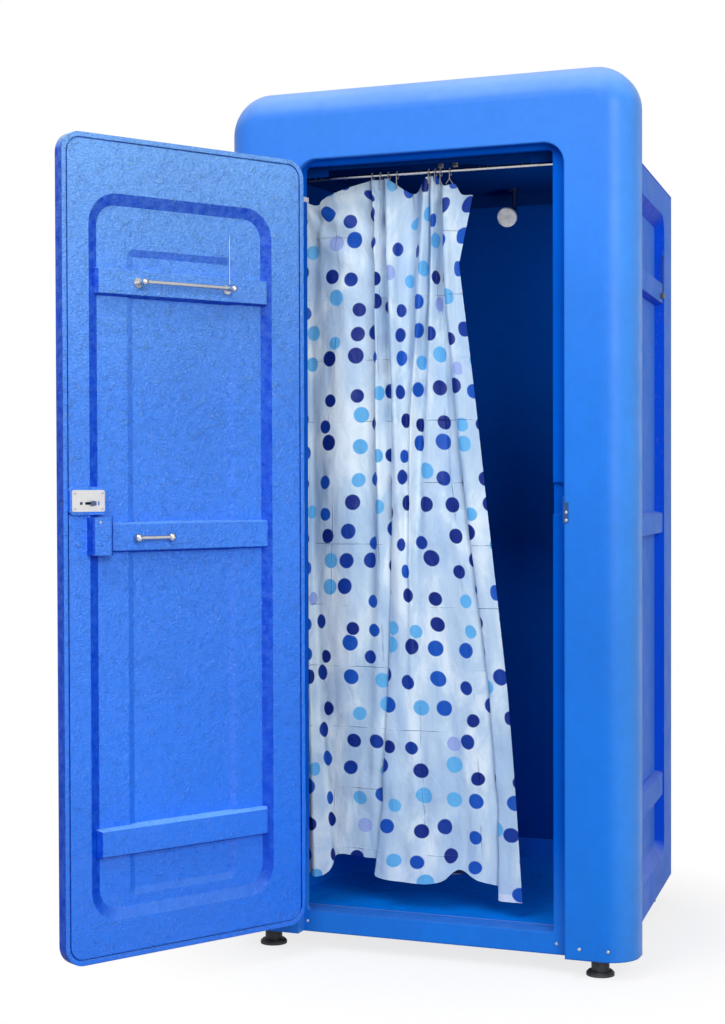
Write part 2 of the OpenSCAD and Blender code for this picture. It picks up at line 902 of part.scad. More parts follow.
// Everything on the door is drawn with the door shut and then swung about the hinge pins
module open_door() {
    translate([hinge_x, hinge_y, 0])
        rotate([0, 0, -door_angle])
            translate([-hinge_x, -hinge_y, 0])
                children();
}
module bolt_channel() {
    translate([door_r - 95 - slide, door_in - 12 - slide, bolt_z - 6 - slide])
        cube([100, 8 + 2 * slide, 12 + 2 * slide]);
    translate([door_r - 76.3, door_in - 6, bolt_z - 3 - slide])
        cube([bolt_travel + 6.6, 20, 6 + 2 * slide]);
}
module door_skin_closed() {
    difference() {
        sheet_y(yf, door_in)
            round_rect(door_l, door_z, door_r, door_top, door_rad);
        sheet_y(yf + skin_t, door_in + 1)
            round_rect(door_l + rim_w, door_z + rim_w, door_r - rim_w, door_top - rim_w, door_rad - rim_w);
        // shallow panel on the outside
        mirror([0, 1, 0])
            bevel_pocket(door_l + 90, door_z + 100, door_r - 90, door_top - 100, 60, 10, -yf, 2);
        bolt_channel();
        for (z = grip_zs)
            pipe_y(door_r - 70, yf - 1, yf + skin_t + 1, z, 2 + run);
    }
}
module panel_core() {
    g = rim_w + seat;
    difference() {
        union() {
            sheet_y(yf + skin_t + seat, door_in - 6)
                round_rect(door_l + g, door_z + g, door_r - g, door_top - g, door_rad - g);
            sheet_y(door_in - 7, door_in - 0.8)
                let (h = g + 3)
                    round_rect(door_l + h, door_z + h, door_r - h, door_top - h, door_rad - h);
        }
        bevel_pocket(rec_x0, rec_z0, rec_x1, rec_z1, 80, 28, door_in - 0.8, field_d - 0.8);
        bevel_pocket(door_l + 213, rec_z0 + 52, door_r - 187, rec_z1 - 130, 22, 18, field_y, 6);
    }
}
module door_panel_closed() {
    difference() {
        union() {
            panel_core();
            // raised pad under the lock
            sheet_y(field_y - 1, door_in + 8)
                round_rect(lock_x - 53, bolt_z - 28, lock_x + 51, bolt_z + 40, 12);
        }
        bolt_channel();
        for (p = lock_pts)
            pipe_y(p[0], door_in - 6, door_in + 9, p[1], 1.6 + run);
    }
}
lock_x = door_r - 63;
lock_z = bolt_z + 6;
plate_w = 90;
plate_h = 52;
lock_pts = [
    for (z = [-1, 1])
        for (x = [-1, 1])
            [lock_x + x * (plate_w / 2 - 7), lock_z + z * (plate_h / 2 - 7)]
];
module door_battens_closed() {
    difference() {
        union() {
            batten(rec_x0 + 10, low_batten_z, rec_x1 - 10, low_batten_z + 78, 8, field_y - 6, batten_y);
            batten(rec_x0 + 10, top_batten_z, rec_x1 - 10, top_batten_z + 70, 6, field_y - 6, batten_y);
            intersection() {
                batten(rec_x0 + 10, mid_batten_z, rec_x1 - 10, mid_batten_z + 76, 6, field_y - 6, batten_y);
                translate([door_l, yf, 0])
                    cube([catch_x - 0.5 - door_l, 100, door_top]);
            }
        }
        panel_core();
    }
}
module catch_block_closed() {
    difference() {
        intersection() {
            translate([catch_x, field_y - 6, mid_batten_z - 4])
                cube([66, batten_y + 20 - field_y + 6, 92]);
            translate([catch_x, 0, mid_batten_z - 14])
                linear_extrude(120)
                    polygon([
                        [0, field_y - 6], [66, field_y - 6], [66, batten_y + 18],
                        [61, batten_y + 20], [15, batten_y + 20], [0, batten_y]
                    ]);
        }
        panel_core();
        pipe_y(catch_x + 45, batten_y, batten_y + 21, mid_batten_z + 76, 2 + run);
    }
}
module lock_plate_closed() {
    difference() {
        sheet_y(door_in + 8, door_in + 10)
            translate([lock_x, lock_z])
                round_rect(-plate_w / 2, -plate_h / 2, plate_w / 2, plate_h / 2, 5);
        translate([door_r - 76.3, door_in, bolt_z - 3 - slide])
            cube([bolt_travel + 6.6, 20, 6 + 2 * slide]);
        for (x = [lock_x - 30, lock_x - 22])
            translate([x, door_in, bolt_z - 5])
                cube([4, 20, 10]);
        pipe_y(lock_x + 20, door_in, door_in + 20, bolt_z, 4);
        for (p = lock_pts)
            pipe_y(p[0], door_in + 7, door_in + 11, p[1], 1.6 + run);
    }
}
module back_screw(x, y, z, len, r) {
    pipe_y(x, y - len, y + 0.2, z, r);
    pipe_y(x, y, y + 1.4, z, 1.9 * r);
}
module door_screws_closed() {
    for (p = lock_pts)
        back_screw(p[0], door_in + 10, p[1], 12, 1.6);
    back_screw(catch_x + 45, batten_y + 20, mid_batten_z + 76, 16, 2);
}
module lock_bolt_closed() {
    translate([door_r - 95, door_in - 12, bolt_z - 6])
        cube([93, 8, 12]);
    pipe_y(door_r - 73, door_in - 5, door_in + 17, bolt_z, 3);
    pipe_y(door_r - 73, door_in + 11, door_in + 18, bolt_z, 6.5);
}
module pull_handle_closed() {
    z = mid_batten_z + 37;
    xs = [door_r - 292, door_r - 196];
    difference() {
        union() {
            for (x = xs) {
                pipe_y(x, batten_y, batten_y + 14, z, 7);
                translate([x, batten_y + 15, z])
                    sphere(10.5);
            }
            pipe_x(xs[0], xs[1], batten_y + 19, z, 5);
        }
        for (x = xs)
            pipe_y(x, batten_y + 22, batten_y + 27, z, 3);
    }
}
module outer_pull_closed() {
    x = door_r - 70;
    for (z = grip_zs) {
        pipe_y(x, yf - 40, yf, z, 6);
        pipe_y(x, yf - 4, yf, z, 13);
        pipe_y(x, yf - 1, yf + skin_t - 0.3, z, 2);
        translate([x, yf - 40, z])
            sphere(8);
    }
    pipe_z(x, yf - 40, grip_zs[0], grip_zs[1], 6);
}
module towel_rail_closed() {
    z = rail_z;
    xs = [door_l + 252, door_r - 205];
    for (x = xs) {
        pipe_y(x, batten_y, batten_y + 35, z, 4.5);
        pipe_y(x, batten_y, batten_y + 4, z, 12);
        translate([x, batten_y + 35, z])
            sphere(8.5);
    }
    pipe_x(xs[0], xs[1], batten_y + 35, z, 5);
}
module hanger_wire_closed() {
    x = door_l + 267;
    difference() {
        pipe_x(x - 4, x + 4, batten_y + 35, rail_z, 8);
        pipe_x(x - 5, x + 5, batten_y + 35, rail_z, 5 + run);
    }
    pipe_z(x, batten_y + 35, rail_z + 6.5, rail_z + 128, 1.6);
    translate([x, batten_y + 35, rail_z + 128])
        sphere(2.8);
}
module door_skin() {
    color(blue)
        open_door()
            door_skin_closed();
}
module door_panel() {
    color(blue)
        open_door()
            door_panel_closed();
}
module door_battens() {
    color(blue)
        open_door()
            door_battens_closed();
}
module catch_block() {
    color(blue)
        open_door()
            catch_block_closed();
}
module lock_plate() {
    color(steel)
        open_door()
            lock_plate_closed();
}
module door_screws() {
    color(steel)
        open_door()
            door_screws_closed();
}
module lock_bolt() {
    color(steel)
        open_door()
            lock_bolt_closed();
}
module pull_handle() {
    color(steel)
        open_door()
            pull_handle_closed();
}
module outer_pull() {
    color(steel)
        open_door()
            outer_pull_closed();
}
module towel_rail() {
    color(steel)
        open_door()
            towel_rail_closed();
}
module hanger_wire() {
    color(steel)
        open_door()
            hanger_wire_closed();
}
module hinge_door_leaves() {
    color(steel)
        open_door()
            hinge_door_leaves_closed();
}

// Wire rings on the rail, each with a two-legged clip; the last clip stands open and empty
clip_y = -hook_ring * cos(30);
module hook(i) {
    spread = i == 7 ? 33 : 9;
    color([0.72, 0.68, 0.62])
        translate([hook_xs[i], rod_y, hook_z]) {
            rotate([0, 90, 0])
                rotate_extrude()
                    translate([hook_ring, 0])
                        circle(wire_r, $fn = 24);
            translate([0, clip_y, -19])
                cylinder(r = wire_r, h = 19 - hook_ring * sin(30), $fn = 24);
            translate([0, clip_y, -19])
                sphere(1.7, $fn = 24);
            for (a = [spread, -spread])
                translate([0, clip_y, -19])
                    rotate([0, 180 + a, 0]) {
                        cylinder(r = 0.9, h = 16, $fn = 24);
                        translate([0, 0, 16])
                            sphere(1.5, $fn = 24);
                    }
        }
}
module hook_1() {
    hook(0);
}
module hook_2() {
    hook(1);
}
module hook_3() {
    hook(2);
}
module hook_4() {
    hook(3);
}
module hook_5() {
    hook(4);
}
module hook_6() {
    hook(5);
}
module hook_7() {
    hook(6);
}
module hook_8() {
    hook(7);
}

// Curtain: a folded cloth whose right edge leans outward toward the floor
cols = 46;
rows = 11;
cloth_t = 1.6;
function mix(a, b, k) = a + (b - a) * k;
function clamp01(k) = min(1, max(0, k));
// Right edge of the cloth at t, from 0 at the top to 1 at the hem: a flap, then a lean outward
function cloth_right(t) =
    t < 0.1 ? mix(100, 57, t / 0.1)
    : let (q = (t - 0.1) / 0.9)
        57 + 270 * q - 97 * q * q;
// Upper edge: held at the peg and the hooks, sagging in between and dropping away past the last
function cloth_head(x) =
    x < -320 ? cloth_pin_z - 21 * sin(90 * clamp01((x - cloth_x0) / 50))
    : x < hook_xs[0] ? mix(cloth_pin_z + 2, cloth_top, (x + 320) / (hook_xs[0] + 320))
    : x < hook_xs[3] ? cloth_top
    : x < hook_xs[4] ? cloth_top - 40 * sin(180 * (x - hook_xs[3]) / (hook_xs[4] - hook_xs[3]))
    : x < hook_xs[6] + 1 ? cloth_top
    : x < 28 ? mix(cloth_top, cloth_pin_z + 8, (x - hook_xs[6] - 1) / (27 - hook_xs[6]))
    : x < 60 ? cloth_pin_z + 8
    : mix(cloth_pin_z - 1, cloth_pin_z - 20, clamp01((x - 60) / 36));
function cloth_hem(s) = mix(178, 152, pow(s, 4)) + 16 * pow(sin(360 * 1.75 * s + 30), 2);
function cloth_pt(s, t, side) =
    let (
        bunch = 0.030 * sin(720 * s + 60) * (1 - 0.6 * t),
        k = clamp01(s + bunch * sin(180 * s)),
        x = mix(cloth_x0, cloth_right(t), k),
        x_top = mix(cloth_x0, cloth_right(0), k),
        z0 = cloth_head(x_top),
        z = mix(z0, cloth_hem(s), t),
        a = 360 * folds * s,
        amp = mix(5, 27, pow(t, 0.7)),
        y = rod_y + 4 * t + amp * sin(a) + 0.35 * amp * sin(a * 0.5 + 50) * t
    )
    [x, y + side * cloth_t / 2, z];
module curtain() {
    n = (cols + 1) * (rows + 1);
    pts = [
        for (side = [-1, 1])
            for (j = [0:rows])
                for (i = [0:cols])
                    cloth_pt(i / cols, j / rows, side)
    ];
    w = cols + 1;
    front = [
        for (j = [0:rows - 1])
            for (i = [0:cols - 1])
                let (a = j * w + i, b = a + 1, c = a + w + 1, d = a + w)
                    each [[a, b, c], [a, c, d]]
    ];
    back = [for (f = front) [f[0] + n, f[2] + n, f[1] + n]];
    top = [for (i = [0:cols - 1]) each [[i, i + n, i + 1 + n], [i, i + 1 + n, i + 1]]];
    base = rows * w;
    bottom = [
        for (i = [0:cols - 1])
            let (a = base + i)
                each [[a, a + 1, a + 1 + n], [a, a + 1 + n, a + n]]
    ];
    left = [for (j = [0:rows - 1]) let (a = j * w, d = a + w) each [[a, d, d + n], [a, d + n, a + n]]];
    right = [
        for (j = [0:rows - 1])
            let (a = j * w + cols, d = a + w)
                each [[a, a + n, d + n], [a, d + n, d]]
    ];
    color([0.80, 0.87, 0.95])
        polyhedron(points = pts, faces = concat(front, back, top, bottom, left, right));
}

// Levelling foot: pad, neck and stud in the base
module foot(i) {
    top = i < 2 ? shell_z : beam_z;
    color(black)
        translate([foot_pts[i][0], foot_pts[i][1], 0]) {
            cylinder(r = foot_r, h = 7);
            translate([0, 0, 7])
                cylinder(r1 = foot_r, r2 = foot_r - 5, h = 5);
            cylinder(r = 23, h = top - 0.1);
            cylinder(r = stud_r, h = beam_top - 8);
        }
}
module foot_front_left() {
    foot(0);
}
module foot_front_right() {
    foot(1);
}
module foot_back_left() {
    foot(2);
}
module foot_back_right() {
    foot(3);
}

front_shell();
bulkhead();
left_wall();
right_wall();
left_battens();
right_battens();
back_wall();
back_battens();
roof_cap();
roof_vent();
floor_tray();
base_frame();
drain_grate();
waste_pipe();
hinge_frame_leaves();
hinge_pins();
strike_plate();
strike_screws();
shell_screws();
curtain_rod();
rod_flanges();
ceiling_clips();
corner_peg();
shower_arm();
supply_pipe();
water_inlet();
pipe_clips();
valve_body();
side_hook();
door_skin();
door_panel();
door_battens();
catch_block();
lock_plate();
door_screws();
pull_handle();
outer_pull();
towel_rail();
hanger_wire();
hinge_door_leaves();
lock_bolt();
shower_rose();
valve_lever();
curtain();
hook_1();
hook_2();
hook_3();
hook_4();
hook_5();
hook_6();
hook_7();
hook_8();
foot_front_left();
foot_front_right();
foot_back_left();
foot_back_right();
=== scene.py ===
import math

import bmesh
import bpy
import numpy as np
from mathutils import Matrix, Vector, noise


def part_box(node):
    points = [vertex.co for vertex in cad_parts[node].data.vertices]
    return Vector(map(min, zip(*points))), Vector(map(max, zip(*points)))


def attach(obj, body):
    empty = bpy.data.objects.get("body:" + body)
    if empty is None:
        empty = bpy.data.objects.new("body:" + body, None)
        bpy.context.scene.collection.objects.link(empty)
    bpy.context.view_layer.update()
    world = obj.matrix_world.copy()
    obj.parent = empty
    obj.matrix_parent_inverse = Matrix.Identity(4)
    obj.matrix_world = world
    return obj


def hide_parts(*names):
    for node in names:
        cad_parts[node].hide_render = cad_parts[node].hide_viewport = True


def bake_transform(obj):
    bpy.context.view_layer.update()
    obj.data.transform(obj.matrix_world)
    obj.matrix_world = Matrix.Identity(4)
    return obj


bl_info = {
    "name": "Portable shower cabin",
    "version": (1, 0, 0),
    "blender": (4, 5, 0),
    "location": "View3D > Sidebar > Cabin",
    "description": "Adds the looks of a portable shower cabin round its CAD frame",
    "category": "Add Mesh",
}

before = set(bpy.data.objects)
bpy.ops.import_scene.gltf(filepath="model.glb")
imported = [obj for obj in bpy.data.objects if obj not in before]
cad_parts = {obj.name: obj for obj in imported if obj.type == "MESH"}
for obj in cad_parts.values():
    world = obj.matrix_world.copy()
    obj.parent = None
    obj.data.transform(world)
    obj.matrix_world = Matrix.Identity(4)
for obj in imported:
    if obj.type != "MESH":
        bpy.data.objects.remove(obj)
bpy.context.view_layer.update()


def node_box(name):
    """Lowest and highest corner of a CAD node, as vectors."""
    low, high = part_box(name)
    return Vector(low), Vector(high)


ROD_LOW, ROD_HIGH = node_box("curtain_rod")
ROD_Y = (ROD_LOW.y + ROD_HIGH.y) / 2
DOOR_TURN = math.radians(119.6)
HINGE = Vector((-0.3455, -0.506, 0.0))
# Middle of the lock plate on the closed door
LOCK_AT = (0.315, -0.458, 1.212)
# Curtain: the height of its hem, and the foremost place it may take, just behind the surround
HEM_Z = 0.15
CLOTH_FRONT_Y = -0.3862
# Pinned corner and the sag beside it, each as place across and height
CORNER_X, CORNER_Z = -0.389, 2.026
SAG_X, SAG_Z = -0.265, 1.90
CABIN_HEIGHT = 2.3
CAMERA_AT = (1.5728, -4.9231, 1.2594)
# Yaw, pitch and roll of the camera in degrees
CAMERA_TURN = (21.398, -0.998, -0.170)
LENS, SENSOR = 63.83, 36.0
NO_TURN = Matrix.Identity(4)


# ---- sizes and colours that a user would change


class CabinLook(bpy.types.PropertyGroup):
    # the surround grades from its low to its high colour with height: painted light, brighter
    # toward the top
    shell_low: bpy.props.FloatVectorProperty(
        name="Surround, low", description="Colour of the moulded surround near the ground",
        subtype="COLOR", size=3, min=0, max=1, default=(0.004, 0.165, 0.700),
    )
    shell_high: bpy.props.FloatVectorProperty(
        name="Surround, high", description="Colour of the moulded surround at its top",
        subtype="COLOR", size=3, min=0, max=1, default=(0.030, 0.200, 0.740),
    )
    # pale painted highlight on faces of the surround that look up or turn outward
    painted_highlight_colour: bpy.props.FloatVectorProperty(
        name="Surround, bleached",
        description="Pale colour where the surround turns upward or outward",
        subtype="COLOR", size=3, min=0, max=1, default=(0.360, 0.580, 0.960),
    )
    # painted shade in the recess of the surround
    recess_shade_colour: bpy.props.FloatVectorProperty(
        name="Recess", description="Deeper colour in the recess of the surround", subtype="COLOR",
        size=3, min=0, max=1, default=(0.000, 0.105, 0.600),
    )
    # the door grades from its low to its high colour with height: painted light, brighter toward
    # the top
    door_low: bpy.props.FloatVectorProperty(
        name="Door, low", description="Colour of the door near the ground", subtype="COLOR",
        size=3, min=0, max=1, default=(0.000, 0.180, 0.960),
    )
    door_high: bpy.props.FloatVectorProperty(
        name="Door, high", description="Colour of the door at its top", subtype="COLOR",
        size=3, min=0, max=1, default=(0.190, 0.465, 0.980),
    )
    # painted shade on the sloped edges of the door moulding
    slope_shade_colour: bpy.props.FloatVectorProperty(
        name="Door slopes", description="Deeper colour on the sloped edges of the door moulding",
        subtype="COLOR", size=3, min=0, max=1, default=(0.0, 0.048, 0.620),
    )
    wall_colour: bpy.props.FloatVectorProperty(
        name="Walls outside", description="Colour of the walls and the roof", subtype="COLOR",
        size=3, min=0, max=1, default=(0.000, 0.072, 0.780),
    )
    # painted shade inside the closed cabin: the inside walls are darker than outside, and darker
    # toward the roof
    inside_shade_low: bpy.props.FloatVectorProperty(
        name="Walls inside, low", description="Colour of the walls inside the cabin near the floor",
        subtype="COLOR", size=3, min=0, max=1, default=(0.000, 0.090, 0.480),
    )
    inside_shade_high: bpy.props.FloatVectorProperty(
        name="Walls inside, high", description="Colour of the walls inside the cabin near the roof",
        subtype="COLOR", size=3, min=0, max=1, default=(0.001, 0.055, 0.330),
    )
    floor_colour: bpy.props.FloatVectorProperty(
        name="Floor tray", description="Colour of the floor tray", subtype="COLOR",
        size=3, min=0, max=1, default=(0.000, 0.230, 0.950),
    )
    edge_softness: bpy.props.FloatProperty(
        name="Edge softness", description="Radius over which moulded edges catch the light",
        subtype="DISTANCE", unit="LENGTH", min=0, default=0.005,
    )
    hammer_depth: bpy.props.FloatProperty(
        name="Hammered depth", description="Depth of the hammered texture of the door",
        subtype="DISTANCE", unit="LENGTH", min=0, default=0.0058,
    )


class CurtainLook(bpy.types.PropertyGroup):
    flat_width: bpy.props.FloatProperty(
        name="Flat width", description="Width of the cloth laid flat", subtype="DISTANCE",
        unit="LENGTH", min=0.5, default=0.720,
    )
    thickness: bpy.props.FloatProperty(
        name="Thickness", description="Thickness of the cloth", subtype="DISTANCE",
        unit="LENGTH", min=0.0001, default=0.0004,
    )
    dot_pitch: bpy.props.FloatProperty(
        name="Dot pitch", description="Mean distance between printed dots", subtype="DISTANCE",
        unit="LENGTH", min=0.01, default=0.078,
    )
    dot_radius: bpy.props.FloatProperty(
        name="Dot radius", description="Radius of a printed dot", subtype="DISTANCE",
        unit="LENGTH", min=0.002, default=0.0212,
    )
    cloth_colour: bpy.props.FloatVectorProperty(
        name="Cloth colour", description="Colour of the cloth between its dots", subtype="COLOR",
        size=3, min=0, max=1, default=(0.56, 0.72, 0.88),
    )


class StageLook(bpy.types.PropertyGroup):
    key_power: bpy.props.FloatProperty(
        name="Key light", description="Power of the large soft light", subtype="POWER",
        unit="POWER", min=0, default=190.0,
    )
    front_power: bpy.props.FloatProperty(
        name="Front light", description="Power of the light from the right of the viewer",
        subtype="POWER", unit="POWER", min=0, default=185.0,
    )
    inner_power: bpy.props.FloatProperty(
        name="Inner light", description="Power of the faint light inside the cabin",
        subtype="POWER", unit="POWER", min=0, default=1.35,
    )
    fill_level: bpy.props.FloatProperty(
        name="Fill", description="Level of the even light from all sides", subtype="FACTOR",
        min=0, max=2, default=0.33,
    )
    floor_colour: bpy.props.FloatVectorProperty(
        name="Floor colour", description="Colour of the floor", subtype="COLOR",
        size=3, min=0, max=1, default=(0.96, 0.96, 0.96),
    )


# ---- materials


class Net:
    """Small helper that writes the nodes of one material."""

    def __init__(self, name):
        self.mat = bpy.data.materials.new(name)
        self.mat.use_nodes = True
        self.tree = self.mat.node_tree
        self.tree.nodes.clear()
        self.out = self.add("ShaderNodeOutputMaterial")
        self.where = self.add("ShaderNodeTexCoord").outputs["Object"]

    def add(self, kind, sockets=None, **props):
        node = self.tree.nodes.new(kind)
        for key, value in props.items():
            setattr(node, key, value)
        for key, value in (sockets or {}).items():
            self.put(node, key, value)
        return node

    def put(self, node, key, value):
        if isinstance(value, bpy.types.NodeSocket):
            self.tree.links.new(value, node.inputs[key])
        else:
            node.inputs[key].default_value = value

    def scaled(self, scale, vector=None):
        return self.add(
            "ShaderNodeMapping", {"Vector": vector or self.where, "Scale": scale}
        ).outputs["Vector"]

    def noise(self, scale, detail=3.0, rough=0.5, vector=None, warp=0.0):
        return self.add(
            "ShaderNodeTexNoise",
            {
                "Vector": vector or self.where, "Scale": scale, "Detail": detail,
                "Roughness": rough, "Distortion": warp,
            },
        ).outputs["Fac"]

    def band(self, value, low, high, to_low=0.0, to_high=1.0):
        return self.add(
            "ShaderNodeMapRange",
            {
                "Value": value, "From Min": low, "From Max": high,
                "To Min": to_low, "To Max": to_high,
            },
            clamp=True,
        ).outputs["Result"]

    def math(self, operation, a, b=0.0):
        node = self.add("ShaderNodeMath", operation=operation)
        self.put(node, 0, a)
        self.put(node, 1, b)
        return node.outputs[0]

    def mix(self, factor, a, b, blend="MIX"):
        node = self.add("ShaderNodeMix", data_type="RGBA", blend_type=blend)
        self.put(node, 0, factor)
        self.put(node, 6, (*a, 1.0) if isinstance(a, (tuple, list)) else a)
        self.put(node, 7, (*b, 1.0) if isinstance(b, (tuple, list)) else b)
        return node.outputs[2]

    def tones(self, value, stops, steps="LINEAR"):
        node = self.add("ShaderNodeValToRGB", {"Fac": value})
        ramp = node.color_ramp
        ramp.interpolation = steps
        for place, tint in stops[1:-1]:
            ramp.elements.new(place).color = (*tint, 1.0)
        for end, (place, tint) in ((0, stops[0]), (len(stops) - 1, stops[-1])):
            ramp.elements[end].position = place
            ramp.elements[end].color = (*tint, 1.0)
        return node.outputs["Color"]

    def times(self, first, *rest):
        for value in rest:
            first = self.math("MULTIPLY", first, value)
        return first

    def less(self, mask):
        return self.math("SUBTRACT", 1.0, mask)

    def dot(self, a, b):
        node = self.add("ShaderNodeVectorMath", {0: a, 1: b}, operation="DOT_PRODUCT")
        return node.outputs["Value"]

    def place(self, name):
        return self.add("ShaderNodeSeparateXYZ", {"Vector": self.where}).outputs[name]

    def bump(self, height, distance, strength=1.0, normal=None):
        sockets = {"Height": height, "Distance": distance, "Strength": strength}
        if normal is not None:
            sockets["Normal"] = normal
        return self.add("ShaderNodeBump", sockets).outputs["Normal"]

    def surface(self, **sockets):
        node = self.add("ShaderNodeBsdfPrincipled")
        for key, value in sockets.items():
            name = key.replace("_", " ")
            tint = isinstance(value, tuple) and len(value) == 3
            self.put(node, name, (*value, 1.0) if tint else value)
        self.put(self.out, "Surface", node.outputs["BSDF"])
        return node

    def both(self, share, a, b):
        """Mixes two shaders and sends them to the output."""
        node = self.add("ShaderNodeMixShader", {0: share, 1: a, 2: b})
        self.put(self.out, "Surface", node.outputs["Shader"])
        return node.outputs["Shader"]


def between(low, high, share):
    return tuple(a + (b - a) * share for a, b in zip(low, high))


def scaled_tint(tint, scale, lift=0.0):
    return tuple(min(1.0, c * scale + lift) for c in tint)


def laminate(
    name, low, high, hammer=0.0, peel=0.0002, rough=0.36, edge=0.005, grime=0.2, level=0.35,
    shade_at=None, shade_low=None, shade_high=None, painted_highlight=None, highlight_by_height=(0.1, 0.6),
    side_highlight=0.0, side_highlight_from=(0.25, 0.85), shade_spot_at=None,
):
    """Gelcoat over laminate: paler upward as painted light, orange peel or hammered relief, grime
    and scuffs, with painted shade and painted highlights.
    """
    net = Net(name)
    height = net.place("Z")
    # colour graded with height from low to high: painted light, brighter toward the top
    base = net.tones(
        net.math("DIVIDE", height, CABIN_HEIGHT),
        (
            (0.05, low), (0.30, between(low, high, 0.10)), (0.62, between(low, high, 0.30)),
            (0.93, high),
        ),
    )
    normal = net.add("ShaderNodeTexCoord").outputs["Normal"]
    turned = net.add("ShaderNodeSeparateXYZ", {"Vector": normal})
    up = net.band(turned.outputs["Z"], 0.12, 0.72)
    cloudy = net.band(net.noise(1.7, 4.0, 0.55), 0.32, 0.70, 0.88, 1.06)
    fine = net.band(net.noise(34.0, 5.0, 0.6), 0.30, 0.75, 0.96, 1.05)
    tone = net.times(cloudy, fine)
    # a mask where the moulding lies in a recess or slopes, drawn in a darker tone as painted shade
    shade_share = 0.0
    if shade_at is not None:
        shade_tint = net.mix(net.band(height, 0.3, 2.0), shade_low, shade_high or shade_low)
        shade_share = net.times(shade_at(net), net.less(up))
        base = net.mix(shade_share, base, shade_tint)
    # near-black painted shade at a spot, such as the pocket behind the lock plate
    if shade_spot_at is not None:
        base = net.mix(shade_spot_at(net), base, (0.010, 0.016, 0.035))
    if painted_highlight:
        # painted highlight: faces that look up are paler in patches, faces that look to +X a little
        highlight_patches = net.band(net.noise(2.2, 3.0, 0.5), 0.3, 0.7, 0.75, 1.0)
        highlight_patches = net.times(highlight_patches, net.band(height, 0.10, 2.0, *highlight_by_height), net.less(shade_share))
        base = net.mix(net.times(up, highlight_patches), base, painted_highlight)
        out = net.band(turned.outputs["X"], *side_highlight_from)
        out = net.times(out, net.band(height, -0.3, 1.2, 0.7, 1.0), net.less(shade_share), side_highlight)
        base = net.mix(out, base, (0.100, 0.400, 1.000))
    grey = net.add("ShaderNodeCombineXYZ", {0: tone, 1: tone, 2: tone}).outputs[0]
    base = net.mix(1.0, base, grey, "MULTIPLY")
    # grime that has run down and splashed up
    streaks = net.noise(1.0, 4.0, 0.6, net.scaled((26.0, 26.0, 1.1)))
    splash = net.band(net.noise(16.0, 4.0, 0.65), 0.42, 0.72)
    splash = net.times(net.band(height, 0.42, 0.06), splash)
    dirt = net.math("MAXIMUM", net.times(net.band(streaks, 0.56, 0.80), 0.30), splash)
    base = net.mix(net.times(dirt, grime), base, scaled_tint(low, 0.5, 0.01))
    # small scuffs that show the paler layer
    scuff = net.band(net.noise(9.0, 6.0, 0.75, warp=1.2), 0.735, 0.775)
    base = net.mix(net.times(scuff, 0.30), base, scaled_tint(low, 0.7, 0.25))
    soft = net.add("ShaderNodeBevel", {"Radius": edge}, samples=4).outputs["Normal"]
    relief = net.bump(net.noise(210.0, 3.0, 0.5), peel, 1.0, soft)
    relief = net.bump(net.noise(3.2, 2.0, 0.5), 0.004, 0.35, relief)
    shine = net.band(net.noise(11.0, 4.0, 0.6), 0.25, 0.75, rough - 0.06, rough + 0.10)
    if hammer:
        dents = net.noise(140.0, 3.0, 0.6, net.scaled((1.0, 1.0, 1.5)), warp=0.7)
        broad = net.noise(40.0, 2.0, 0.5, net.scaled((1.0, 1.0, 1.3)))
        fold = net.math("SUBTRACT", net.noise(72.0, 3.0, 0.55, warp=0.8), 0.5)
        fold = net.math("ABSOLUTE", fold)
        ridges = net.times(net.band(fold, 0.07, 0.0), net.band(broad, 0.46, 0.66))
        lumps = net.math("ADD", dents, net.times(ridges, 0.30))
        lumps = net.math("ADD", lumps, net.times(broad, 0.5))
        calm = net.times(net.less(net.times(shade_share, 0.4)), net.band(height, 0.4, 1.5, 0.45, 1.0))
        relief = net.bump(net.times(lumps, calm), hammer, 1.0, relief)
        plain = net.times(calm, net.less(shade_share))
        # painted shade in the dents: the low colour where the dents lie
        dent_shade = net.times(net.band(dents, 0.56, 0.34, 0.0, 0.30), plain)
        base = net.mix(dent_shade, base, low)
        # thin creases between the lumps, painted darker as shade
        crease_shade = net.band(fold, 0.030, 0.004, 0.0, 0.35)
        crease_shade = net.times(crease_shade, net.band(broad, 0.42, 0.60), plain)
        base = net.mix(crease_shade, base, scaled_tint(low, 0.74))
        # crests painted pale as highlights, and glossier
        crest = net.times(net.band(lumps, 0.92, 1.12), net.band(calm, 0.6, 1.0))
        highlight_and_shade_patches = net.band(dents, 0.58, 0.74, 0.0, 0.16)
        highlight_and_shade_patches = net.times(net.math("MAXIMUM", net.times(crest, 0.30), highlight_and_shade_patches), plain)
        base = net.mix(highlight_and_shade_patches, base, scaled_tint(high, 1.25, 0.14))
        shine = net.math("SUBTRACT", shine, net.times(crest, 0.08))
    coat = net.surface(
        Base_Color=base, Roughness=shine, Normal=relief, Specular_IOR_Level=level
    )
    if shade_at is not None:
        # the faces under painted shade are dull
        dull = net.add("ShaderNodeBsdfDiffuse", {"Color": base, "Normal": relief})
        net.both(net.times(shade_share, 0.9), coat.outputs["BSDF"], dull.outputs["BSDF"])
    return net.mat


def in_recess(net):
    """1 inside the recess of the surround, fading in above the sill; painted shade goes there."""
    mask = net.band(net.place("Y"), -0.498, -0.480)
    for axis, low, high in (
        ("X", -0.357, -0.353), ("X", 0.391, 0.387), ("Z", 2.118, 2.112), ("Z", 0.11, 0.35),
    ):
        mask = net.times(mask, net.band(net.place(axis), low, high))
    return mask


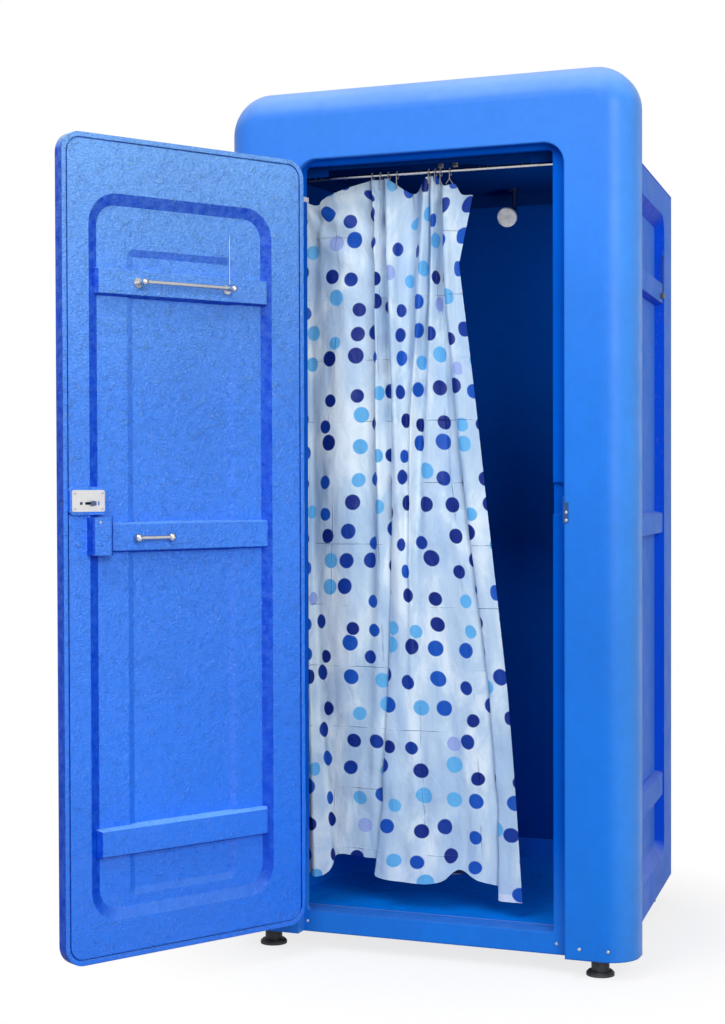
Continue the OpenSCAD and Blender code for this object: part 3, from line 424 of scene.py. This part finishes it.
def on_slope(net):
    """1 where the inner face of the door slopes or turns away from its plane; painted shade goes
    there.
    """
    normal = net.add("ShaderNodeTexCoord").outputs["Normal"]
    across = (math.cos(DOOR_TURN), -math.sin(DOOR_TURN), 0.0)
    through = (math.sin(DOOR_TURN), math.cos(DOOR_TURN), 0.0)
    facing_it = net.math("ABSOLUTE", net.dot(normal, through))
    slope = net.band(facing_it, 0.985, 0.94, 0.0, 0.9)
    # the upright sides of the inner recess get only faint painted shade
    from_hinge = net.add(
        "ShaderNodeVectorMath", {0: net.where, 1: HINGE}, operation="SUBTRACT"
    ).outputs["Vector"]
    along = net.dot(from_hinge, across)
    inner = net.times(net.band(along, 0.198, 0.202), net.band(along, 0.556, 0.552))
    tilt = net.add("ShaderNodeSeparateXYZ", {"Vector": normal}).outputs["Z"]
    upright = net.band(net.math("ABSOLUTE", tilt), 0.4, 0.1)
    faint = net.times(inner, upright, 0.75)
    slope = net.times(slope, net.band(net.noise(46.0, 4.0, 0.6), 0.34, 0.62, 0.72, 1.0))
    return net.times(slope, net.less(faint))


def lock_pocket_shade(net):
    """1 in the pocket behind the slots of the lock plate, where near-black painted shade goes."""
    centre = HINGE + Matrix.Rotation(-DOOR_TURN, 3, "Z") @ (Vector(LOCK_AT) - HINGE)
    gap = net.add("ShaderNodeVectorMath", {0: net.where, 1: centre}, operation="DISTANCE")
    return net.band(gap.outputs["Value"], 0.0245, 0.0235)


def inside_walls(net):
    """1 on the faces that look into the cabin, whose walls draw in slightly to the back; these
    faces get painted shade.
    """
    taper = 0.0822
    width = net.math("ADD", net.math("ABSOLUTE", net.place("X")), net.times(net.place("Y"), taper))
    return net.times(net.band(width, 0.458, 0.450), net.band(net.place("Y"), 0.470, 0.462))


def metal(name, colour, rough=0.24, brushed=True):
    """Plated metal with brushing, smudges and dull spots."""
    net = Net(name)
    grain = net.noise(60.0, 4.0, 0.6, net.scaled((1.0, 1.0, 14.0 if brushed else 1.0)))
    smudge = net.noise(38.0, 4.0, 0.6)
    base = net.mix(net.band(smudge, 0.35, 0.75, 0.0, 0.45), colour, scaled_tint(colour, 0.62))
    spots = net.band(net.noise(160.0, 3.0, 0.7), 0.66, 0.74, 0.0, 0.5)
    base = net.mix(spots, base, scaled_tint(colour, 0.45))
    dull = net.band(smudge, 0.3, 0.8, rough, rough + 0.22)
    net.surface(
        Base_Color=base,
        Metallic=1.0,
        Roughness=net.math("ADD", dull, net.times(spots, 0.3)),
        Normal=net.bump(grain, 0.00008, 0.6),
    )
    return net.mat


def plastic(name, colour, rough=0.4, grain=0.0001, dust=0.15):
    """Moulded plastic or rubber with a fine grain and some dust."""
    net = Net(name)
    patch = net.noise(45.0, 4.0, 0.6)
    base = net.mix(
        net.band(patch, 0.35, 0.75), scaled_tint(colour, 0.8), scaled_tint(colour, 1.15)
    )
    dusty = net.band(net.noise(14.0, 5.0, 0.65), 0.48, 0.72, 0.0, dust)
    base = net.mix(dusty, base, (0.42, 0.41, 0.40))
    net.surface(
        Base_Color=base,
        Roughness=net.band(patch, 0.3, 0.8, rough - 0.06, rough + 0.14),
        Normal=net.bump(net.noise(420.0, 3.0, 0.6), grain, 1.0),
    )
    return net.mat


def printed_cloth(look):
    """Coated cloth with printed dots, laid out in metres by place across and height."""
    net = Net("Dotted cloth")
    flat = net.add("ShaderNodeUVMap", uv_map="Flat").outputs["UV"]
    cells = net.add(
        "ShaderNodeTexVoronoi",
        {"Vector": flat, "Scale": 1.0 / look.dot_pitch, "Randomness": 0.58},
        voronoi_dimensions="2D", feature="F1",
    )
    pick = net.add("ShaderNodeSeparateColor", {"Color": cells.outputs["Color"]})
    size = net.band(pick.outputs["Green"], 0.0, 1.0, 0.88, 1.10)
    reach = net.times(size, look.dot_radius / look.dot_pitch)
    inside = net.math("SUBTRACT", reach, cells.outputs["Distance"])
    dot = net.band(inside, 0.0, 0.03)
    tints = net.tones(
        pick.outputs["Red"],
        (
            (0.0, (0.006, 0.040, 0.300)), (0.26, (0.008, 0.085, 0.470)),
            (0.48, (0.005, 0.022, 0.210)), (0.68, (0.120, 0.430, 0.800)),
            (0.95, (0.300, 0.400, 0.760)),
        ),
        "CONSTANT",
    )
    tone = net.noise(3.0, 4.0, 0.5)
    plain = tuple(look.cloth_colour)
    shaded = tuple(c * b for c, b in zip(plain, (0.62, 0.72, 0.86)))
    ground = net.mix(net.band(tone, 0.3, 0.7), scaled_tint(plain, 0.93), plain)
    # soft patches of painted shade, bluer, and of painted highlight, paler, over the cloth
    shade = net.noise(4.2, 4.0, 0.60, net.scaled((2.0, 1.0, 0.8)), warp=0.6)
    ground = net.mix(net.band(shade, 0.44, 0.62, 0.0, 0.75), ground, shaded)
    ground = net.mix(net.band(shade, 0.48, 0.36, 0.0, 0.70), ground, (0.80, 0.90, 0.97))
    # faint lines where the cloth was folded in its pack: bumped, and painted darker as shade in the
    # creases
    along = net.add("ShaderNodeSeparateXYZ", {"Vector": flat})
    lines = []
    for axis, pitch, shift in (("X", 0.152, 0.031), ("Y", 0.166, 0.058)):
        place = net.math("ADD", along.outputs[axis], shift)
        place = net.math("PINGPONG", place, pitch / 2)
        lines.append(net.band(place, 0.0022, 0.0))
    highlight_and_shade_patches = net.band(net.noise(10.0, 3.0, 0.6), 0.50, 0.60)
    folds = net.times(net.math("MAXIMUM", *lines), highlight_and_shade_patches)
    ground = net.mix(net.times(folds, 0.13), ground, (0.36, 0.46, 0.62))
    hem = net.band(along.outputs["Y"], 0.020, 0.0185)
    ground = net.mix(net.times(hem, 0.5), ground, (0.86, 0.90, 0.95))
    printed = net.mix(dot, ground, tints)
    crumples = net.noise(24.0, 4.0, 0.55, net.scaled((1.0, 1.0, 0.5)), warp=0.6)
    height = net.math("ADD", crumples, net.times(folds, 0.40))
    normal = net.bump(height, 0.0062, 0.9)
    normal = net.bump(net.noise(900.0, 2.0, 0.5), 0.00004, 0.6, normal)
    face = net.surface(
        Base_Color=printed,
        Roughness=net.band(crumples, 0.3, 0.7, 0.34, 0.50),
        Normal=normal,
        Specular_IOR_Level=0.18,
    )
    through = net.add("ShaderNodeBsdfTranslucent", {"Color": printed, "Normal": normal})
    net.both(0.07, face.outputs["BSDF"], through.outputs["BSDF"])
    return net.mat


def paint(nodes, material):
    """Gives CAD nodes a material."""
    for name in nodes:
        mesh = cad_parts[name].data
        mesh.materials.clear()
        mesh.materials.append(material)


# ---- shapes


def mesh_object(name, bm, material, smooth_under=40.0):
    """Object at the origin from a bmesh, smooth where its faces meet at less than an angle."""
    bmesh.ops.recalc_face_normals(bm, faces=bm.faces)
    limit = math.radians(smooth_under)
    for face in bm.faces:
        face.smooth = True
    for edge in bm.edges:
        edge.smooth = len(edge.link_faces) == 2 and edge.calc_face_angle(0.0) < limit
    mesh = bpy.data.meshes.new(name)
    bm.to_mesh(mesh)
    bm.free()
    mesh.materials.append(material)
    thing = bpy.data.objects.new(name, mesh)
    bpy.context.scene.collection.objects.link(thing)
    return thing


def facing(centre, outward):
    """Matrix that turns local +Z toward outward and moves the origin to centre."""
    turn = Vector(outward).to_track_quat("Z", "Y").to_matrix().to_4x4()
    return Matrix.Translation(centre) @ turn


def screw_head(bm, matrix, radius, rise):
    """Domed head with a cross recess, its seat at the matrix's origin."""
    made = bmesh.ops.create_uvsphere(bm, u_segments=28, v_segments=14, radius=radius)["verts"]
    low = [v for v in made if v.co.z < -1e-6]
    bmesh.ops.delete(bm, geom=low, context="VERTS")
    made = [v for v in made if v.is_valid]
    bmesh.ops.scale(bm, vec=(1, 1, rise / radius), verts=made)
    rim = [e for e in bm.edges if len(e.link_faces) == 1 and all(v in made for v in e.verts)]
    skirt = bmesh.ops.extrude_edge_only(bm, edges=rim)["geom"]
    lower = [g for g in skirt if isinstance(g, bmesh.types.BMVert)]
    bmesh.ops.translate(bm, vec=(0, 0, -rise * 0.35), verts=lower)
    edges = [g for g in skirt if isinstance(g, bmesh.types.BMEdge)]
    edges = [e for e in edges if all(v in lower for v in e.verts)]
    bmesh.ops.edgeloop_fill(bm, edges=edges)
    made += lower
    # the cross is pressed into the dome
    for v in made:
        x, y = abs(v.co.x), abs(v.co.y)
        near = min(x, y) < radius * 0.16 and max(x, y) < radius * 0.62
        if near and v.co.z > rise * 0.3:
            v.co.z -= rise * 0.45
    bmesh.ops.transform(bm, matrix=matrix, verts=made)


# ---- curtain

# Heights in millimetres at which the fold lines are placed
LEVELS = (2060, 1960, 1830, 1700, 1400, 1100, 700, 400, 150)
# Fold lines from left to right, in millimetres: place across at each level, depth behind the
# rail's plane at each level, height of the top, height of the hem
GUIDES = (
    ((-389, -391, -392, -392, -392, -392, -392, -390, -388),
     (-2, 0, 0, 0, 0, 0, 0, 0, 0), 2026, 190),
    ((-370, -378, -380, -380, -378, -375, -368, -360, -352),
     (-3, -4, -5, -6, -8, -10, -16, -22, -24), 2015, 178),
    ((-342, -350, -356, -362, -366, -366, -358, -338, -327),
     (2, 4, 4, 4, 4, 6, 12, 18, 20), 2008, 186),
    ((-318, -322, -324, -325, -328, -328, -320, -312, -305),
     (0, -2, -2, -2, -2, 0, 10, 18, 22), 2029, 232),
    ((-262, -266, -266, -266, -268, -258, -256, -256, -258),
     (-4, -6, -6, -6, -8, -6, 4, 14, 20), 2047, 236),
    ((-198, -194, -194, -194, -195, -198, -206, -212, -215),
     (-2, 10, 12, 12, 12, 12, 14, 18, 20), 2062, 234),
    ((-184, -175, -175, -175, -173, -166, -176, -186, -192),
     (-8, -16, -16, -16, -16, -14, 0, 14, 18), 2064, 234),
    ((-163, -152, -152, -152, -147, -130, -134, -146, -160),
     (-2, 16, 17, 18, 18, 20, 26, 28, 26), 2064, 230),
    ((-150, -143, -142, -140, -133, -136, -148, -162, -192),
     (-4, 0, 0, 0, 0, -4, -6, -6, -6), 2064, 196),
    ((-138, -134, -131, -128, -118, -108, -118, -134, -168),
     (-8, -16, -17, -18, -18, -20, -22, -24, -24), 2064, 184),
    ((-72, -74, -82, -92, -94, -92, -88, -90, -95),
     (6, 10, 10, 8, 4, -10, -16, -22, -26), 2024, 180),
    ((-34, -38, -46, -54, -76, -80, -76, -70, -60),
     (-6, -14, -16, -18, -18, -16, -18, -24, -28), 2060, 179),
    ((-24, -25, -28, -33, -54, -66, -58, -45, -30),
     (-2, 12, 12, 12, 10, 4, -6, -16, -26), 2064, 180),
    ((-14, -12, -15, -19, -28, -35, -25, -15, -5),
     (-8, -12, -12, -12, -8, -4, -8, -16, -24), 2064, 185),
    ((-2, 0, 0, 1, 16, 10, 15, 15, 15),
     (0, 16, 16, 16, 10, 4, -2, -12, -18), 2062, 194),
    ((4, 6, 7, 8, 30, 45, 58, 56, 52),
     (2, 8, 10, 12, 8, 2, 0, -2, 6), 2054, 222),
    ((8, 10, 12, 14, 42, 72, 100, 108, 104),
     (0, 4, 6, 8, 8, 4, 0, -4, -6), 2052, 198),
    ((10, 12, 14, 17, 48, 88, 152, 180, 178),
     (-2, 0, 3, 6, 8, 12, 16, 18, 16), 2050, 180),
    ((14, 16, 20, 24, 54, 90, 140, 164, 163),
     (-8, -12, -12, -12, -10, -8, -8, -8, -8), 2046, 152),
    ((24, 25, 29, 34, 66, 104, 160, 187, 195),
     (-12, -16, -16, -16, -16, -16, -15, -15, -14), 2036, 149),
    ((50, 47, 40, 44, 82, 122, 172, 203, 214),
     (-4, -6, -7, -8, -10, -12, -13, -13, -12), 2040, 149),
    ((67, 62, 50, 54, 94, 134, 178, 210, 224),
     (4, 0, -2, -4, -8, -10, -10, -10, -10), 2014, 149),
    ((112, 88, 58, 75, 111, 145, 190, 213, 229),
     (-2, -2, -2, -4, -6, -8, -8, -8, -8), 2008, 149),
)


def spline(points, steps):
    """Smooth line through points, with a number of steps between neighbours."""
    points = np.vstack([2 * points[0] - points[1], points, 2 * points[-1] - points[-2]])
    u = np.linspace(0, 1, steps, endpoint=False)[:, None]
    parts = []
    for i in range(1, len(points) - 2):
        a, b, c, d = points[i - 1 : i + 3]
        bend = 2 * a - 5 * b + 4 * c - d
        turn = 3 * b - a - 3 * c + d
        parts.append(0.5 * ((2 * b) + (c - a) * u + bend * u**2 + turn * u**3))
    parts.append(points[-2:-1])
    return np.vstack(parts)


def length_along(line):
    return np.linalg.norm(np.diff(line, axis=0), axis=1)


def cloth_row(t, gather):
    """Line of the cloth at t, from 0 at the top to 1 at the hem, in metres."""
    pinned = 4  # the fold lines up to this one hang from the pinned corner and keep their depth
    levels = np.array(LEVELS[::-1], float)
    points = []
    for number, (across, depth, top, hem) in enumerate(GUIDES):
        z = top + (hem - top) * t
        x = np.interp(z, levels, across[::-1])
        d = np.interp(z, levels, depth[::-1])
        if number > pinned:
            d *= gather if d > 0 else min(gather, 1.25)
        points.append((x, ROD_Y * 1000 - 4 + 8 * min(1.0, t * 4) + d, z))
    return spline(np.array(points, float), 16) / 1000


def cloth_grid(width, columns, rows):
    """Points of the cloth: each row is pleated toward the cloth's width, within limits.

    Rows near the hem stay longer than that, and a few at the top shorter.
    """
    grid = np.zeros((rows + 1, columns + 1, 3))
    for j in range(rows + 1):
        low, high = 0.5, 2.3
        for _ in range(18):
            middle = (low + high) / 2
            line = cloth_row(j / rows, middle)
            if length_along(line).sum() < width:
                low = middle
            else:
                high = middle
        gone = np.concatenate([[0], np.cumsum(length_along(line))])
        places = np.linspace(0, gone[-1], columns + 1)
        for axis in range(3):
            grid[j, :, axis] = np.interp(places, gone, line[:, axis])
    return grid


def crumple(grid):
    """Adds the small wrinkles: pulls from the pinned corner and the sag, and a soft waviness."""
    rows, columns = grid.shape[:2]
    along = np.gradient(grid, axis=1)
    down = np.gradient(grid, axis=0)
    normal = np.cross(down, along)
    normal /= np.linalg.norm(normal, axis=2)[:, :, None] + 1e-9
    for j in range(rows):
        for i in range(columns):
            x, y, z = grid[j, i]
            u = i / (columns - 1)
            corner = math.hypot(x - CORNER_X, z - CORNER_Z)
            angle = math.atan2(CORNER_Z - z, x - CORNER_X)
            rays = math.exp(-corner / 0.16) * min(1.0, corner / 0.05)
            pull = math.sin(angle * 13.0) * rays * 0.0038
            sag = math.hypot(x - SAG_X, (z - SAG_Z) * 0.8)
            pull += math.sin((x * 0.8 + z) * 62.0) * math.exp(-((sag / 0.11) ** 2)) * 0.0032
            wave = noise.noise(Vector((u * 9.0, 0.0, z * 3.2))) * 0.0044
            wave += noise.noise(Vector((u * 26.0, 4.0, z * 9.0))) * 0.0026
            low = max(0.0, 1.0 - abs(z - 0.42) / 0.30)
            wave += noise.noise(Vector((u * 14.0, 9.0, z * 13.0))) * 0.0062 * low
            fade = min(1.0, (2.075 - z) / 0.06)
            grid[j, i] += normal[j, i] * (pull + wave) * fade
    grid[:, :, 1] = np.clip(grid[:, :, 1], CLOTH_FRONT_Y, None)
    return grid


def cloth_mesh(look, material):
    """The hanging cloth, with a UV map of its place across and its height, in metres."""
    columns, rows = ((250, 190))
    grid = crumple(cloth_grid(look.flat_width, columns, rows))
    bm = bmesh.new()
    bmesh.ops.create_grid(bm, x_segments=columns, y_segments=rows, size=0.5)
    bm.verts.ensure_lookup_table()
    order = sorted(bm.verts, key=lambda v: (-round(v.co.y, 5), round(v.co.x, 5)))
    wide = np.linalg.norm(np.diff(grid, axis=1), axis=2)
    across = np.concatenate([np.zeros((rows + 1, 1)), np.cumsum(wide, axis=1)], axis=1)
    across *= look.flat_width / across[:, -1:]
    layer = bm.loops.layers.uv.new("Flat")
    place = {}
    for n, v in enumerate(order):
        j, i = divmod(n, columns + 1)
        place[v] = (float(across[j, i]), float(grid[j, i, 2]) - HEM_Z)
        v.co = Vector(grid[j, i])
    for face in bm.faces:
        for loop in face.loops:
            loop[layer].uv = place[loop.vert]
    cloth = mesh_object("Curtain", bm, material, 180)
    solid = cloth.modifiers.new("Thickness", "SOLIDIFY")
    solid.thickness = look.thickness
    solid.offset = 0.0
    return cloth


# ---- operators


class CABIN_OT_shell(bpy.types.Operator):
    """Give the surround, the walls, the roof and the floor their laminate"""

    bl_idname = "cabin.shell"
    bl_label = "Moulded cabin"

    def execute(self, context):
        look = context.scene.cabin_look
        # painted shade in the recess, painted highlight on faces that look up or to +X
        front = laminate(
            "Surround laminate", tuple(look.shell_low), tuple(look.shell_high), peel=0.00022,
            rough=0.40, edge=look.edge_softness * 1.4, level=0.25,
            shade_at=in_recess, shade_low=tuple(look.recess_shade_colour),
            painted_highlight=tuple(look.painted_highlight_colour), highlight_by_height=(0.08, 0.60), side_highlight=0.40,
        )
        outside = tuple(look.wall_colour)
        # painted shade on the faces inside the cabin, painted highlight on faces that look up or to
        # +X
        walls = laminate(
            "Wall laminate", outside, outside, hammer=look.hammer_depth * 0.3, rough=0.44,
            edge=look.edge_softness, grime=0.3, level=0.03, shade_at=inside_walls,
            shade_low=tuple(look.inside_shade_low), shade_high=tuple(look.inside_shade_high),
            painted_highlight=(0.300, 0.500, 0.950), highlight_by_height=(0.6, 0.6), side_highlight=0.50,
            side_highlight_from=(0.93, 0.985),
        )
        # the ceiling: the high inside colour darkened further as painted shade
        ceiling = scaled_tint(look.inside_shade_high, 0.45)
        roof = laminate(
            "Roof laminate", outside, outside, rough=0.44, edge=look.edge_softness, grime=0.3,
            level=0.03, shade_at=inside_walls, shade_low=ceiling,
        )
        paint(("roof_cap", "roof_vent"), roof)
        tray = tuple(look.floor_colour)
        floor = laminate(
            "Floor laminate", tray, tray, rough=0.30, edge=look.edge_softness, grime=0.4, level=0.3,
        )
        paint(("front_shell",), front)
        paint(("floor_tray",), floor)
        paint(
            (
                "bulkhead", "left_wall", "right_wall", "left_battens", "right_battens", "back_wall",
                "back_battens",
            ),
            walls,
        )
        return {"FINISHED"}


class CABIN_OT_door(bpy.types.Operator):
    """Give the door its hammered laminate"""

    bl_idname = "cabin.door"
    bl_label = "Door"

    def execute(self, context):
        look = context.scene.cabin_look
        # painted shade on the door's slopes and in the lock pocket, painted highlight on faces that
        # look up, most near the ground
        inner = laminate(
            "Door laminate", tuple(look.door_low), tuple(look.door_high), hammer=look.hammer_depth,
            rough=0.24, edge=look.edge_softness, grime=0.12, level=0.50, shade_at=on_slope,
            shade_low=tuple(look.slope_shade_colour), painted_highlight=(0.260, 0.600, 1.000),
            highlight_by_height=(0.85, 0.45), shade_spot_at=lock_pocket_shade,
        )
        paint(("door_skin", "door_panel", "door_battens", "catch_block"), inner)
        return {"FINISHED"}


class CABIN_OT_fittings(bpy.types.Operator):
    """Give the metal, plastic and rubber fittings their materials"""

    bl_idname = "cabin.fittings"
    bl_label = "Fittings"

    def execute(self, context):
        chrome = metal("Chrome", (0.56, 0.56, 0.57), 0.15)
        satin = metal("Satin steel", (0.48, 0.49, 0.51), 0.30)
        paint(
            (
                "curtain_rod", "rod_flanges", "valve_body", "valve_lever",
                "pull_handle", "towel_rail", "outer_pull",
            ),
            chrome,
        )
        paint(
            (
                "hinge_frame_leaves", "hinge_door_leaves", "hinge_pins",
                "supply_pipe", "pipe_clips", "drain_grate",
            ),
            satin,
        )
        paint(("lock_plate",), metal("Plate", (0.66, 0.66, 0.66), 0.36, False))
        # keeper plate drawn dark navy
        paint(
            ("strike_plate",), plastic("Dark navy keeper", (0.010, 0.060, 0.200), 0.35, 0.00008, 0.10)
        )
        # shower arm and lock bolt: dark steel, darkened as painted shade
        paint(("shower_arm", "lock_bolt"), metal("Dark steel", (0.10, 0.13, 0.22), 0.30))
        paint(("hanger_wire",), metal("Dull wire", (0.24, 0.34, 0.52), 0.32, False))
        paint(("water_inlet",), metal("Brass", (0.72, 0.50, 0.22), 0.28, False))
        paint(
            ("base_frame",), plastic("Black paint", (0.025, 0.025, 0.028), 0.38, 0.00015, 0.3)
        )
        paint(("waste_pipe", "side_hook"), plastic("Black plastic", (0.03, 0.03, 0.032), 0.45))
        paint(
            ("shower_rose", "corner_peg"),
            plastic("White plastic", (0.84, 0.84, 0.83), 0.28, 0.00005, 0.08),
        )
        paint(("ceiling_clips",), plastic("Pale plastic", (0.62, 0.54, 0.46), 0.42))
        paint(
            tuple("hook_%d" % i for i in range(1, 9)),
            plastic("Hook plastic", (0.46, 0.44, 0.42), 0.30, 0.00003, 0.05),
        )
        paint(
            ("foot_front_left", "foot_front_right", "foot_back_left", "foot_back_right"),
            plastic("Rubber", (0.018, 0.018, 0.019), 0.62, 0.0003, 0.22),
        )
        return {"FINISHED"}


class CABIN_OT_screws(bpy.types.Operator):
    """Model the screw heads with their cross recesses"""

    bl_idname = "cabin.screws"
    bl_label = "Screws"

    def execute(self, context):
        steel = metal("Screw steel", (0.50, 0.51, 0.53), 0.30, False)
        swing = Matrix.Rotation(-DOOR_TURN, 4, "Z")
        swing = Matrix.Translation(HINGE) @ swing @ Matrix.Translation(-HINGE)
        low_row = [(x, -0.5, 0.080) for x in (-0.494, -0.420, 0.420, 0.494)]
        low_row += [(x, -0.464, 0.080) for x in (-0.336, 0.352)]
        keeper = [(0.388, -0.5016, z) for z in (1.178, 1.158)]
        x, y, z = LOCK_AT
        door = [(x + dx, y, z + dz) for dx in (-0.038, 0.038) for dz in (-0.019, 0.019)]
        door.append((0.292, -0.440, 1.160))
        to_front, to_back = (0, -1, 0), (0, 1, 0)
        # radius and rise of a head
        large, small = (0.0042, 0.0019), (0.0034, 0.0015)
        groups = (
            ("Surround_screws", "shell_screws", "cabin", NO_TURN, to_front, large, low_row),
            ("Keeper_screws", "strike_screws", "cabin", NO_TURN, to_front, large, keeper),
            ("Door_screws", "door_screws", "door", swing, to_back, small, door),
        )
        for name, node, body, matrix, outward, head, places in groups:
            bm = bmesh.new()
            for place in places:
                screw_head(bm, matrix @ facing(Vector(place), outward), *head)
            heads = mesh_object(name, bm, steel, 35)
            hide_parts(node)
            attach(heads, body)
        return {"FINISHED"}


class CABIN_OT_curtain(bpy.types.Operator):
    """Model the hanging curtain with its folds, sag and printed dots"""

    bl_idname = "cabin.curtain"
    bl_label = "Curtain"

    def execute(self, context):
        look = context.scene.cabin_curtain
        cloth = cloth_mesh(look, printed_cloth(look))
        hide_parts("curtain")
        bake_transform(cloth)
        return {"FINISHED"}


def floor_material(look):
    """Floor that keeps the shadow and fades into the backdrop."""
    net = Net("Floor")
    far = net.add("ShaderNodeVectorMath", {0: net.scaled((1.0, 1.0, 0.0))}, operation="LENGTH")
    rays = net.add("ShaderNodeLightPath")
    seen = net.math("MAXIMUM", rays.outputs["Is Camera Ray"], rays.outputs["Is Glossy Ray"])
    seen = net.math("MAXIMUM", seen, rays.outputs["Is Transmission Ray"])
    pale = tuple(look.floor_colour)
    lit_tint = net.mix(net.noise(2.0), pale, (0.98, 0.98, 0.98))
    face = net.surface(
        Base_Color=net.mix(seen, scaled_tint(pale, 0.4), lit_tint),
        Roughness=0.9,
        Specular_IOR_Level=0.1,
    )
    lit = net.add("ShaderNodeEmission", {"Color": (1, 1, 1, 1), "Strength": 1.0})
    clear = net.add("ShaderNodeBsdfTransparent")
    soft = net.both(net.times(seen, 0.78), face.outputs["BSDF"], lit.outputs["Emission"])
    net.both(net.band(far.outputs["Value"], 0.62, 1.02), soft, clear.outputs["BSDF"])
    return net.mat


def backdrop(scene, fill_level):
    """White to the camera and to reflections, and a weaker even light to all else."""
    world = bpy.data.worlds.new("Backdrop")
    scene.world = world
    world.use_nodes = True
    tree = world.node_tree
    tree.nodes.clear()
    out = tree.nodes.new("ShaderNodeOutputWorld")
    white, fill = (tree.nodes.new("ShaderNodeBackground") for _ in range(2))
    for node, tint, strength in (
        (white, (1, 1, 1, 1), 1.0), (fill, (0.98, 0.99, 1, 1), fill_level),
    ):
        node.inputs["Color"].default_value = tint
        node.inputs["Strength"].default_value = strength
    path = tree.nodes.new("ShaderNodeLightPath")
    choose = tree.nodes.new("ShaderNodeMixShader")
    seen = path.outputs["Is Camera Ray"]
    for kind in ("Is Glossy Ray", "Is Transmission Ray"):
        larger = tree.nodes.new("ShaderNodeMath")
        larger.operation = "MAXIMUM"
        tree.links.new(seen, larger.inputs[0])
        tree.links.new(path.outputs[kind], larger.inputs[1])
        seen = larger.outputs[0]
    tree.links.new(seen, choose.inputs[0])
    tree.links.new(fill.outputs[0], choose.inputs[1])
    tree.links.new(white.outputs[0], choose.inputs[2])
    tree.links.new(choose.outputs[0], out.inputs["Surface"])


def lamps(scene, look):
    for name, place, aim, size, power in (
        ("Key", (-0.8, -4.4, 5.4), (0.0, -0.3, 1.1), 3.6, look.key_power),
        ("Front", (3.4, -4.4, 2.7), (0.0, -0.4, 1.1), 2.8, look.front_power),
        ("Inner high", (0.22, -0.14, 1.70), (0.17, 0.25, 1.93), 0.14, look.inner_power * 1.3),
        ("Inner low", (0.14, 0.0, 1.02), (0.12, 0.10, 0.1), 0.22, look.inner_power * 0.5),
    ):
        light = bpy.data.lights.new(name, "AREA")
        light.shape = "SQUARE"
        light.size = size
        light.energy = power
        lamp = bpy.data.objects.new(name, light)
        lamp.visible_camera = False
        lamp.matrix_world = facing(Vector(place), Vector(place) - Vector(aim))
        scene.collection.objects.link(lamp)


def camera(scene):
    yaw, pitch, roll = (math.radians(angle) for angle in CAMERA_TURN)
    ahead = Vector(
        (-math.sin(yaw) * math.cos(pitch), math.cos(yaw) * math.cos(pitch), math.sin(pitch))
    )
    right = Vector((math.cos(yaw), math.sin(yaw), 0.0))
    up = right.cross(ahead)
    right, up = (
        math.cos(roll) * right + math.sin(roll) * up,
        math.cos(roll) * up - math.sin(roll) * right,
    )
    data = bpy.data.cameras.new("Camera")
    data.sensor_width = SENSOR
    data.lens = LENS
    data.clip_end = 60.0
    thing = bpy.data.objects.new("Camera", data)
    turn = Matrix((right, up, -ahead)).transposed().to_4x4()
    thing.matrix_world = Matrix.Translation(CAMERA_AT) @ turn
    scene.collection.objects.link(thing)
    scene.camera = thing


class CABIN_OT_stage(bpy.types.Operator):
    """Set up the floor, the lights, the backdrop and the camera"""

    bl_idname = "cabin.stage"
    bl_label = "Stage"

    def execute(self, context):
        look = context.scene.cabin_stage
        scene = context.scene
        bm = bmesh.new()
        bmesh.ops.create_circle(bm, cap_ends=True, segments=96, radius=9.0)
        mesh_object("Floor", bm, floor_material(look))
        backdrop(scene, look.fill_level)
        lamps(scene, look)
        camera(scene)
        scene.view_settings.view_transform = "Standard"
        return {"FINISHED"}


class CABIN_PT_pieces(bpy.types.Panel):
    bl_label = "Shower cabin"
    bl_idname = "CABIN_PT_pieces"
    bl_space_type = "VIEW_3D"
    bl_region_type = "UI"
    bl_category = "Cabin"

    def draw(self, context):
        for group in ("cabin_look", "cabin_curtain", "cabin_stage"):
            values = getattr(context.scene, group)
            for key in values.__annotations__:
                self.layout.prop(values, key)
        for step in STEPS:
            self.layout.operator(step.bl_idname)


STEPS = (
    CABIN_OT_shell, CABIN_OT_door, CABIN_OT_fittings, CABIN_OT_screws, CABIN_OT_curtain,
    CABIN_OT_stage,
)
CLASSES = (CabinLook, CurtainLook, StageLook, *STEPS, CABIN_PT_pieces)


def register():
    for item in CLASSES:
        bpy.utils.register_class(item)
    bpy.types.Scene.cabin_look = bpy.props.PointerProperty(type=CabinLook)
    bpy.types.Scene.cabin_curtain = bpy.props.PointerProperty(type=CurtainLook)
    bpy.types.Scene.cabin_stage = bpy.props.PointerProperty(type=StageLook)


def unregister():
    del bpy.types.Scene.cabin_look, bpy.types.Scene.cabin_curtain, bpy.types.Scene.cabin_stage
    for item in reversed(CLASSES):
        bpy.utils.unregister_class(item)


def main():
    register()
    for step in STEPS:
        group, name = step.bl_idname.split(".")
        getattr(getattr(bpy.ops, group), name)()


if __name__ == "__main__":
    main()
